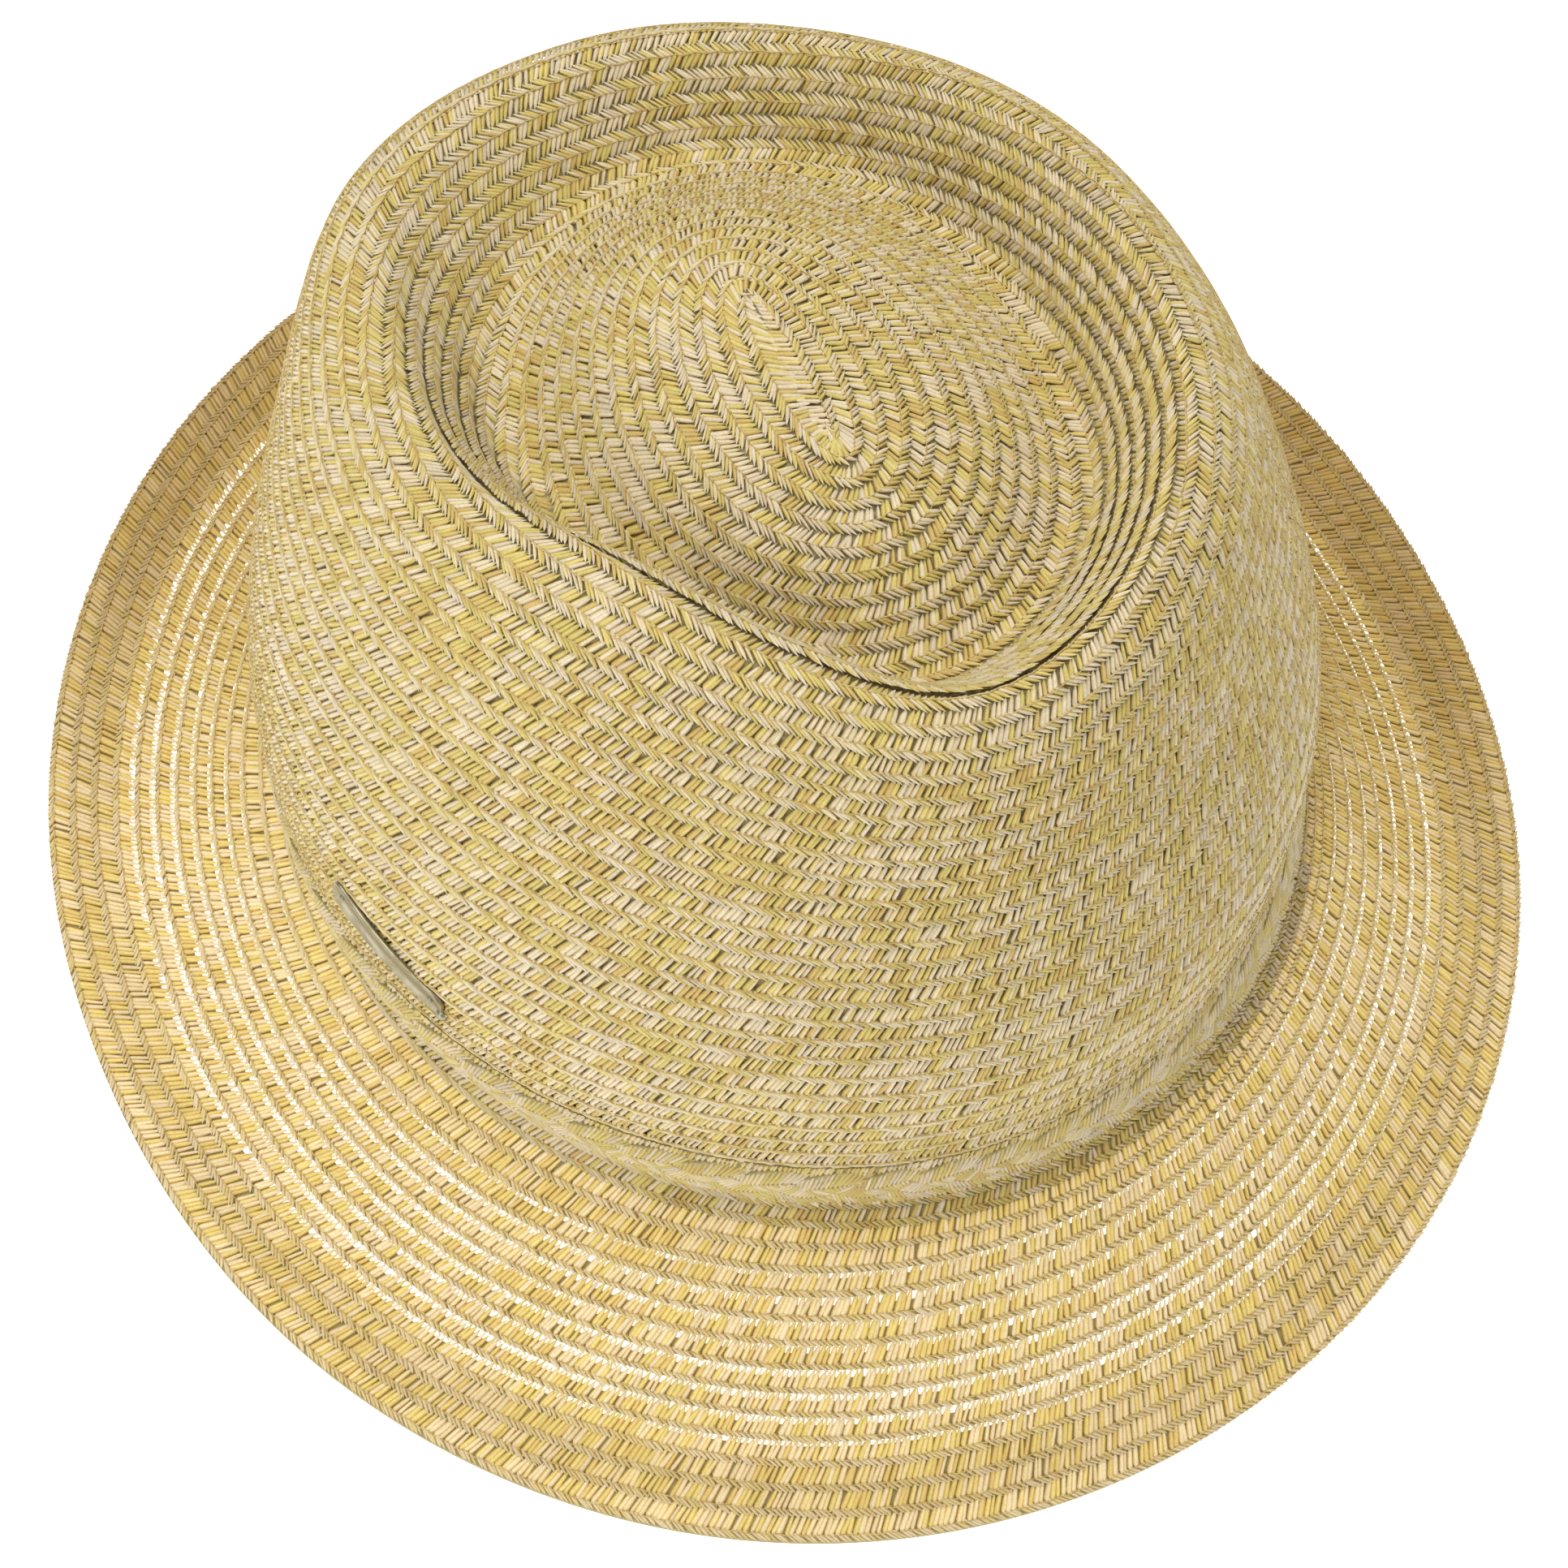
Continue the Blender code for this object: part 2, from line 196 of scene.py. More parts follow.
CROWN_BRAID_ROWS = 45.0        # from the seam to the head line
BRIM_BRAID_ROWS = 13.1         # from the head line to the edge, at the start of the last row
DOME_CLOSER = 0.88             # row pitch on the raised middle, against that of even rows
WALL_WIDER = 1.08              # and on the wall
JOIN_TURN = 180.0              # the braid ends at the back
JOIN_SHARE = 0.08              # of a turn, in which its end is tucked under
SPINE_IN = 0.44                # from a row's sewn spine to its lower edge, as a share of the pitch
BRIM_SPINE_LOWER = 0.11        # of the pitch, how much nearer that edge the spine lies on the brim
STRAND_PITCH = 0.95 * MM       # along the row
LEAN_TURN = -30.0              # the lowest wall rows and the band sink most a quarter turn further on
LEAN_ROWS = 1.45
LEAN_MEAN = 0.3
LEAN_SPAN = (33.0, 42.5, 43.5, 48.2)  # rows where the sinking starts, is full, fades and ends
DEGREE = 2 * np.pi * (HEAD_HALF_WIDTH + HEAD_HALF_LENGTH) / 2 / 360  # length of a degree round the head line

TABLE_TURNS = 720
TABLE_CELLS = 8                # to a row


def row_share(share):
    """Rows passed at a share of the way from the seam to the head line, as a share of all crown rows."""
    shares = np.linspace(0, 1, 200)
    blend = np.clip((shares - 0.2) / 0.45, 0, 1)
    pitch = DOME_CLOSER + (WALL_WIDER - DOME_CLOSER) * blend * blend * (3 - 2 * blend)
    rows = np.concatenate([[0], np.cumsum(2 / (pitch[1:] + pitch[:-1]))])
    return np.interp(share, shares, rows / rows[-1])


def step(values, low, high):
    """A smooth rise from 0 at low to 1 at high."""
    t = np.clip((values - low) / (high - low), 0, 1)
    return t * t * (3 - 2 * t)


def span(values, start, full, fade, end):
    """A smooth rise from start to full, and a smooth fall from fade to end."""
    return step(values, start, full) * (1 - step(values, fade, end))


def brim_share(rows):
    """0 on the crown and 1 on the brim, changing over the brim's first row and a half."""
    return step(rows, CROWN_BRAID_ROWS, CROWN_BRAID_ROWS + 1.5)


def lean(turns, rows):
    """How many rows further down the lowest wall rows lie than even ones would."""
    sunk = LEAN_MEAN + LEAN_ROWS * np.sin(np.radians(turns - LEAN_TURN))
    return sunk * span(rows, *LEAN_SPAN)


def edge_row(turns):
    """The row at the brim's edge: it grows by one in a turn, and drops back where the end is tucked."""
    t = np.mod((np.asarray(turns, float) - JOIN_TURN) / 360, 1)
    return CROWN_BRAID_ROWS + BRIM_BRAID_ROWS + t - step(t, 1 - JOIN_SHARE, 1)


class Straw:
    """The hat's top surface, addressed by turn and braid row."""

    def __init__(self):
        turns = np.arange(TABLE_TURNS) * 360.0 / TABLE_TURNS
        grid = place(smooth(controls(turns)), turns)
        grid[..., 1] -= MIDDLE_Y
        along = np.linalg.norm(np.diff(grid, axis=0), axis=2)
        reach = np.vstack([np.zeros(TABLE_TURNS), np.cumsum(along, axis=0)])
        head = reach[CROWN_POINTS * CURVE_STEPS]
        crown = np.arange(0, 1, 1 / (CROWN_BRAID_ROWS * TABLE_CELLS))
        brim = np.linspace(0, 1, math.ceil(BRIM_BRAID_ROWS) * TABLE_CELLS + 1)
        self.crown_cells, self.brim_cells = len(crown), len(brim) - 1
        shares = np.interp(crown, row_share(np.linspace(0, 1, 400)), np.linspace(0, 1, 400))
        spots = np.empty((len(crown) + len(brim), TABLE_TURNS, 3))
        for j in range(TABLE_TURNS):
            wanted = np.concatenate([shares * head[j], head[j] + brim * (reach[-1, j] - head[j])])
            for k in range(3):
                spots[:, j, k] = np.interp(wanted, reach[:, j], grid[:, j, k])
        around_it = np.roll(spots, -1, axis=1) - np.roll(spots, 1, axis=1)
        normals = np.cross(np.gradient(spots, axis=0), around_it)
        normals /= np.maximum(np.linalg.norm(normals, axis=2, keepdims=True), 1e-12)
        normals[:2] = (0, 0, 1)
        self.spots, self.normals = spots, normals
        self.head = head
        self.wall_row = head.mean() * WALL_WIDER / CROWN_BRAID_ROWS

    def find(self, turns, rows, depth=0.0):
        """Points at turns and braid rows, moved along the surface's normal by depth, and the normals."""
        turns, rows = np.broadcast_arrays(np.asarray(turns, float), np.asarray(rows, float))
        turns, rows = np.where(rows < 0, -turns, turns), np.abs(rows)
        return self.at(turns, rows + lean(turns, rows), depth)

    def at(self, turns, rows, depth):
        """The same for rows that are even all round."""
        edge = edge_row(turns)
        crown = rows / CROWN_BRAID_ROWS * self.crown_cells
        brim = (rows - CROWN_BRAID_ROWS) / (edge - CROWN_BRAID_ROWS) * self.brim_cells
        cell = np.where(rows < CROWN_BRAID_ROWS, crown, self.crown_cells + brim)
        cell = np.clip(cell, 0, self.crown_cells + self.brim_cells - 1e-6)
        column = np.mod(turns, 360) / 360 * TABLE_TURNS
        i, j = np.floor(cell).astype(int), np.floor(column).astype(int)
        a, b = (cell - i)[..., None], (column - j)[..., None]
        j, j2 = j % TABLE_TURNS, (j + 1) % TABLE_TURNS

        def mixed(table):
            near = table[i, j] * (1 - b) + table[i, j2] * b
            far = table[i + 1, j] * (1 - b) + table[i + 1, j2] * b
            return near * (1 - a) + far * a

        normal = mixed(self.normals)
        normal /= np.maximum(np.linalg.norm(normal, axis=-1, keepdims=True), 1e-9)
        return mixed(self.spots) + np.asarray(depth)[..., None] * normal, normal

    def above_head(self, turns, rise, depth):
        """Points this far above the head line, measured along the straw."""
        head = np.interp(np.mod(turns, 360) / 360 * TABLE_TURNS, np.arange(TABLE_TURNS), self.head)
        return self.at(turns, row_share(1 - rise / head) * CROWN_BRAID_ROWS, depth)[0]


# Node helpers


class Wire:
    """A node's output that takes part in sums. Sums add Math nodes."""

    def __init__(self, tree, socket):
        self.tree, self.socket = tree, socket

    def math(self, operation, *values):
        """A Math node's result for these values."""
        return add(self.tree, "ShaderNodeMath", {"operation": operation}, dict(enumerate(values)))[0]

    def __add__(self, other):
        return self.math("ADD", self, other)

    def __sub__(self, other):
        return self.math("SUBTRACT", self, other)

    def __rsub__(self, other):
        return self.math("SUBTRACT", other, self)

    def __mul__(self, other):
        return self.math("MULTIPLY", self, other)

    def __gt__(self, other):
        return self.math("GREATER_THAN", self, other)

    def __lt__(self, other):
        return self.math("LESS_THAN", self, other)

    def __abs__(self):
        return self.math("ABSOLUTE", self)

    __radd__, __rmul__ = __add__, __mul__

    def ramp(self, *stops):
        """A colour for each value: stops are (place, colour) pairs."""
        return add(self.tree, "ShaderNodeValToRGB", {"stops": stops}, {0: self})[0]

    def fit(self, low, high, to_low=0.0, to_high=1.0):
        """A smooth change from to_low at low to to_high at high."""
        values = {1: low, 2: high, 3: to_low, 4: to_high}
        settings = {"interpolation_type": "SMOOTHSTEP"}
        return add(self.tree, "ShaderNodeMapRange", settings, {0: self, **values})[0]


def add(tree, kind, settings=None, inputs=None):
    """Adds a node and returns its outputs. Settings are set first, then sockets by name or number."""
    node = tree.nodes.new(kind)
    for name, value in (settings or {}).items():
        if name != "stops":
            setattr(node, name, value)
            continue
        while len(node.color_ramp.elements) < len(value):
            node.color_ramp.elements.new(0.5)
        for stop, (spot, colour) in zip(node.color_ramp.elements, value):
            stop.position, stop.color = spot, (*colour, 1)
    for key, value in (inputs or {}).items():
        if isinstance(value, Wire):
            tree.links.new(value.socket, node.inputs[key])
        else:
            node.inputs[key].default_value = value
    return [Wire(tree, socket) for socket in node.outputs]


def mix(tree, kind, factor, first, second):
    """One colour over another by a factor, in a blend of this kind."""
    first, second = ((*c, 1) if isinstance(c, tuple) else c for c in (first, second))
    settings = {"data_type": "RGBA", "blend_type": kind}
    return add(tree, "ShaderNodeMix", settings, {0: factor, 6: first, 7: second})[2]


def new_material(name):
    """An empty material and its node tree."""
    mat = bpy.data.materials.new(name)
    mat.use_nodes = True
    mat.node_tree.nodes.clear()
    return mat, mat.node_tree


def close_material(tree, shader_inputs):
    """Ends a material with one shader that takes these inputs."""
    shader = add(tree, "ShaderNodeBsdfPrincipled", None, shader_inputs)[0]
    add(tree, "ShaderNodeOutputMaterial", None, {0: shader})


# Finishes

PALE = (0.89, 0.78, 0.57)
BEIGE = (0.74, 0.64, 0.46)
YELLOW = (0.82, 0.68, 0.22)
GOLD = (0.70, 0.52, 0.17)
LEAF = (0.70, 0.60, 0.19)
# Painted shade on the tucked strand ends.
TUCK_SHADE_OLIVE = (0.36, 0.28, 0.09)
# Painted shade: the dark of the gaps between the crown's strands.
GAP_SHADE_BROWN = (0.27, 0.205, 0.08)
# Painted glow: a warmer gold that stands for light shining through the brim's straw.
PAINTED_GLOW_GOLD = (0.82, 0.61, 0.22)
# Painted shade on the short lower strands.
LOWER_SHADE_GREY = (0.52, 0.42, 0.27)
FIBRE_SHADE = (0.72, 0.62, 0.42)
# Painted shade on darker rows, on the brim behind the crown and on the band.
PAINTED_SHADE_TONE = (0.55, 0.47, 0.32)
# Painted shade on the strands' sides.
SIDE_SHADE = (0.62, 0.50, 0.27)


def straw_finish(name, glow_warmth, shade, glow):
    """Dry straw strands: each has its own tone and a sewn golden end, with shade painted on its tucked end
    and sides, on the short strands and on darker rows, and glow painted on the brim.
    """
    mat, tree = new_material(name)
    tint = add(tree, "ShaderNodeAttribute", {"attribute_name": "tint"})[2]
    along = add(tree, "ShaderNodeAttribute", {"attribute_name": "along"})[2]
    lower = add(tree, "ShaderNodeAttribute", {"attribute_name": "lower"})[2]
    dusk = add(tree, "ShaderNodeAttribute", {"attribute_name": "dusk"})[2]
    side = add(tree, "ShaderNodeAttribute", {"attribute_name": "side"})[2]
    spot = add(tree, "ShaderNodeTexCoord")[3]
    tone = tint.ramp((0.0, PALE), (0.22, BEIGE), (0.42, PALE), (0.6, YELLOW), (0.8, LEAF), (1.0, GOLD))
    # Painted glow: the brim's tone is pulled toward warm gold, for light shining through its straw.
    tone = mix(tree, "MIX", glow_warmth, tone, PAINTED_GLOW_GOLD)
    fibre = add(tree, "ShaderNodeTexNoise", None, {"Vector": spot, "Scale": 2600.0, "Detail": 2.0})[0]
    patch = add(tree, "ShaderNodeTexNoise", None, {"Vector": spot, "Scale": 60.0, "Detail": 2.0})[0]
    tone = mix(tree, "MULTIPLY", fibre.fit(0.35, 0.7, 0.0, 0.35), tone, FIBRE_SHADE)
    tone = mix(tree, "MIX", patch.fit(0.45, 0.75, 0.0, 0.25), tone, YELLOW)
    spine = along.fit(0.82, 0.98)
    tone = mix(tree, "MIX", spine * 0.6, tone, GOLD)
    # Painted shade: each long strand's tucked end is darker olive, where it lies under the row above.
    tucked = (1 - along.fit(0.02, 0.3)) * (1 - lower)
    tone = mix(tree, "MIX", tucked * 0.35, tone, TUCK_SHADE_OLIVE)
    # Painted shade: the short lower strands are greyer, by the shade amount.
    tone = mix(tree, "MIX", lower * shade, tone, LOWER_SHADE_GREY)
    # Painted shade: each strand is darkened by its own painted shade value.
    tone = mix(tree, "MULTIPLY", dusk, tone, PAINTED_SHADE_TONE)
    # Painted shade: each strand is darker toward its sides, lighter along its ridge.
    tone = mix(tree, "MULTIPLY", side.fit(0.2, 1.0, 0.0, 0.95), tone, SIDE_SHADE)
    bump = add(tree, "ShaderNodeBump", None, {"Strength": 0.35, "Distance": 0.0002, "Height": fibre})[0]
    inputs = {"Base Color": tone, "Roughness": 0.62, "Normal": bump, "Sheen Weight": 0.15}
    # Painted glow: the brim's strands give off light in their own tone, for light shining through the straw.
    if glow:
        inputs.update({"Emission Color": tone, "Emission Strength": glow})
    close_material(tree, inputs)
    return mat


def wall_finish(name, colour, dark):
    """The rows seen from behind or deep in the gaps: straw in a colour darkened with painted shade, with a
    ridge to a row and painted shade in the grooves between them.
    """
    mat, tree = new_material(name)
    row = add(tree, "ShaderNodeAttribute", {"attribute_name": "row"})[2]
    spot = add(tree, "ShaderNodeTexCoord")[3]
    grain = add(tree, "ShaderNodeTexNoise", None, {"Vector": spot, "Scale": 900.0, "Detail": 3.0})[0]
    ridge = abs(row.math("FRACT", row) - 0.5)
    tone = mix(tree, "MIX", grain.fit(0.35, 0.65), colour, dark)
    # Painted shade: darker in the grooves between rows.
    tone = mix(tree, "MIX", ridge.fit(0.3, 0.5, 0.0, 0.6), tone, dark)
    height = ridge * -2.0 + grain * 0.5
    bump = add(tree, "ShaderNodeBump", None, {"Strength": 0.8, "Distance": 0.0006, "Height": height})[0]
    close_material(tree, {"Base Color": tone, "Roughness": 0.8, "Normal": bump})
    return mat


def metal_finish(name):
    """Brushed, aged metal, a little duller in patches."""
    mat, tree = new_material(name)
    spot = add(tree, "ShaderNodeTexCoord")[3]
    brushed = add(tree, "ShaderNodeMapping", None, {"Vector": spot, "Scale": (400.0, 400.0, 5000.0)})[0]
    lines = add(tree, "ShaderNodeTexNoise", None, {"Vector": brushed, "Scale": 1.0, "Detail": 2.0})[0]
    patch = add(tree, "ShaderNodeTexNoise", None, {"Vector": spot, "Scale": 350.0, "Detail": 3.0})[0]
    tone = mix(tree, "MIX", patch.fit(0.4, 0.65), (0.37, 0.34, 0.24), (0.30, 0.26, 0.16))
    bump = add(tree, "ShaderNodeBump", None, {"Strength": 0.15, "Distance": 0.0001, "Height": lines})[0]
    rough = patch.fit(0.3, 0.7, 0.34, 0.5)
    close_material(tree, {"Base Color": tone, "Metallic": 1.0, "Roughness": rough, "Normal": bump})
    return mat


# Making pieces


def piece(obj, slot, *nodes):
    """Puts a finished piece on the root body and hides the nodes it stands for; slot is not used."""
    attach(obj, "root")
    if nodes:
        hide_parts(*nodes)
    return obj


def new_object(name, mesh, mat=None):
    """A mesh as an object of the scene, in this material."""
    if mat is not None:
        mesh.materials.append(mat)
    obj = bpy.data.objects.new(name, mesh)
    bpy.context.scene.collection.objects.link(obj)
    return obj


SAME_PLACE = 0.01 * MM
STRAND_WIDTH = 0.97 * MM
STRAND_THICKNESS = 0.48 * MM
START_SHARE = 0.40             # of a strand's length, over which its far end narrows
END_SHARE = 0.16
START_WIDTH = 0.85             # of its full width, where that narrowing starts


def strand_tree():
    """Lays one short straw strand, pointed at both ends and flat underneath, on every point."""
    tree = bpy.data.node_groups.new("laid_strands", "GeometryNodeTree")
    face = tree.interface
    face.new_socket("Geometry", in_out="INPUT", socket_type="NodeSocketGeometry")
    for name, value in (("Width", 1.0), ("Thickness", 1.0), ("Start share", START_SHARE),
                        ("End share", END_SHARE), ("Start width", START_WIDTH)):
        face.new_socket(name, in_out="INPUT", socket_type="NodeSocketFloat").default_value = value
    face.new_socket("Material", in_out="INPUT", socket_type="NodeSocketMaterial")
    face.new_socket("Geometry", in_out="OUTPUT", socket_type="NodeSocketGeometry")
    points, width, thickness, start, end, start_width, material = add(tree, "NodeGroupInput")[:7]
    rod = add(tree, "GeometryNodeMeshCylinder", {"fill_type": "NONE"},
              {"Vertices": 3, "Side Segments": 3, "Radius": 1.0, "Depth": 1.0})[0]
    spot = add(tree, "GeometryNodeInputPosition")[0]
    x, y, z = add(tree, "ShaderNodeSeparateXYZ", None, {0: spot})
    inner, far = abs(z) < 0.4, z > 0.0
    length = z.math("SIGN", z) * (0.5 - inner * (start + (end - start) * far))
    size = inner * (start_width + (1 - start_width) * far)
    shape = {0: x * size * thickness * (1 / 1.5), 1: y * size * width * (1 / math.sqrt(3)), 2: length}
    shaped = add(tree, "ShaderNodeCombineXYZ", None, shape)[0]
    rod = add(tree, "GeometryNodeSetPosition", None, {"Geometry": rod, "Position": shaped})[0]
    rod = add(tree, "GeometryNodeMergeByDistance", None, {"Geometry": rod, "Distance": 0.0001})[0]
    fold = add(tree, "GeometryNodeInputMeshEdgeAngle")[0] > 1.6
    rod = add(tree, "GeometryNodeSetShadeSmooth", None, {"Geometry": rod, "Shade Smooth": True})[0]
    rod = add(tree, "GeometryNodeSetShadeSmooth", {"domain": "EDGE"},
              {"Geometry": rod, "Selection": fold, "Shade Smooth": False})[0]
    x, y, z = add(tree, "ShaderNodeSeparateXYZ", None, {0: add(tree, "GeometryNodeInputPosition")[0]})
    for name, value in (("along", z + 0.5), ("side", x < 0.0)):
        rod = add(tree, "GeometryNodeStoreNamedAttribute", {"data_type": "FLOAT"},
                  {"Geometry": rod, "Name": name, "Value": value})[0]
    turned, stretch = (
        add(tree, "GeometryNodeInputNamedAttribute", {"data_type": "FLOAT_VECTOR"}, {"Name": name})[0]
        for name in ("turned", "stretch"))
    turned = add(tree, "FunctionNodeEulerToRotation", None, {0: turned})[0]
    laid = add(tree, "GeometryNodeInstanceOnPoints", None,
               {"Points": points, "Instance": rod, "Rotation": turned, "Scale": stretch})[0]
    laid = add(tree, "GeometryNodeRealizeInstances", None, {"Geometry": laid})[0]
    for name in ("turned", "stretch"):
        laid = add(tree, "GeometryNodeRemoveAttribute", None, {"Geometry": laid, "Name": name})[0]
    laid = add(tree, "GeometryNodeSetMaterial", None, {"Geometry": laid, "Material": material})[0]
    add(tree, "NodeGroupOutput", None, {0: laid})
    return tree


def runs(count, change):
    """Random tones that hold for a few neighbours, as the dye along a straw does."""
    ids = np.cumsum(RANDOM.random(count) < change)
    return RANDOM.random(count + 1)[ids]


def strand_points(starts, ends, normals, widths, tints, lower, dusk):
    """Where strands lie, from their two ends: middles, turns and stretches as rows of numbers."""
    along = ends - starts
    length = np.linalg.norm(along, axis=1, keepdims=True)
    z = along / length
    y = np.cross(z, normals)
    y /= np.linalg.norm(y, axis=1, keepdims=True)
    x = np.cross(y, z)
    turned = np.stack([
        np.arctan2(y[:, 2], z[:, 2]),
        -np.arcsin(np.clip(x[:, 2], -1, 1)),
        np.arctan2(x[:, 1], x[:, 0]),
    ], axis=1)
    stretch = np.stack([np.ones(len(length)), widths, length[:, 0]], axis=1)
    lower, dusk = (np.broadcast_to(np.asarray(v, float), len(length)) for v in (lower, dusk))
    return (starts + ends) / 2, turned, stretch, tints, lower, dusk


def lay_strands(name, tree, parts, mat):
    """One piece of many strands, from the rows of numbers that strand_points gives."""
    spots, turned, stretch, tints, lower, dusk = (np.concatenate(column) for column in zip(*parts))
    mesh = bpy.data.meshes.new(name + "_points")
    mesh.vertices.add(len(spots))
    mesh.vertices.foreach_set("co", spots.astype(np.float32).ravel())
    for label, kind, key, data in (
        ("turned", "FLOAT_VECTOR", "vector", turned),
        ("stretch", "FLOAT_VECTOR", "vector", stretch),
        ("tint", "FLOAT", "value", tints),
        ("lower", "FLOAT", "value", lower),
        ("dusk", "FLOAT", "value", dusk),
    ):
        stored = mesh.attributes.new(label, kind, "POINT").data
        stored.foreach_set(key, data.astype(np.float32).ravel())
    obj = new_object(name, mesh)
    modifier = obj.modifiers.new("laid", "NODES")
    modifier.node_group = tree
    sockets = {s.name: s.identifier for s in tree.interface.items_tree if s.in_out == "INPUT"}
    for label, value in (("Width", STRAND_WIDTH), ("Thickness", STRAND_THICKNESS), ("Material", mat)):
        modifier[sockets[label]] = value
    graph = bpy.context.evaluated_depsgraph_get()
    made = bpy.data.meshes.new_from_object(obj.evaluated_get(graph), depsgraph=graph)
    obj.modifiers.clear()
    obj.data = made
    bpy.data.meshes.remove(mesh)
    made.name = name
    return obj


CROWN_SLANT = 0.60             # how far a long strand runs along its row for each step across it
BRIM_SLANT = 0.42
LOWER_SLANT = 1.1
CROWN_TUCK = 0.16              # of the pitch, hidden under the row above
OPEN_TUCK = 0.10               # the same where the brim lets light through below that row
SHUT_TUCK = 0.36               # and where it doesn't
BESIDE_OPENER = 0.10           # how much less is hidden beside the head
OPEN_ROWS = (46.6, 49.0, 54.7, 55.8)  # where the open rows start, are full, fade and end
OPEN_IN_FRONT = (50.5, 52.5)
LEAST_LIGHT = 0.35             # the openness of the other rows in front, against that of these
MIDDLE_TUCK = 0.35             # more is hidden in the first row
MIDDLE_RISE = 0.3 * MM
TUCK_DEPTH = -0.62 * MM        # of the strands' ends, from the surface: under the row above,
SPINE_DEPTH = 0.22 * MM        # at the spine
EDGE_DEPTH = -0.02 * MM        # and at the row's lower edge
END_SINK = 0.5 * MM            # how far the braid's tucked end sinks under the row before it
LEAST_PITCH = 2.4 * MM
LEAST_DEGREE = 0.02 * MM
MOST_TURN = 30.0               # for a strand's run, near the middle of the spiral
LOWER_OVERLAP = 0.08           # of the pitch, from the spine up over the long strands
UPPER_OVERLAP = 0.07           # and from the spine down under the short ones
LOWER_PAST = 0.03              # past the row's lower edge
END_JITTER = 0.04              # of the pitch
LOWER_WIDTH = 0.74             # of a strand's whole width
UPPER_WIDTH = 0.96
BRIM_WIDER = 0.08


def edge_sink(rows, edge):
    """The depth to which the braid's tucked end sinks."""
    return -END_SINK * np.clip((rows + SPINE_IN - edge) * 2.0, 0, 1)


def braid_path(straw):
    """Even steps along the spiral of braid: turn and row of the sewn spine at each."""
    first = 0.05
    last = CROWN_BRAID_ROWS + BRIM_BRAID_ROWS + 1 - SPINE_IN
    rows = np.linspace(first, last, 80000)
    turns = JOIN_TURN + 360 * (rows + SPINE_IN - BRIM_BRAID_ROWS - CROWN_BRAID_ROWS)
    spots, _ = straw.find(turns, np.minimum(rows, edge_row(turns) - SPINE_IN))
    gone = np.concatenate([[0], np.cumsum(np.linalg.norm(np.diff(spots, axis=0), axis=1))])
    wanted = np.arange(0, gone[-1], STRAND_PITCH)
    return np.interp(wanted, gone, turns), np.interp(wanted, gone, rows)


def slow_noise(count, length):
    """Random values from 0 to 1 that change gently along the braid."""
    knots = np.arange(0, count + length, length)
    return np.interp(np.arange(count), knots, RANDOM.random(len(knots)))


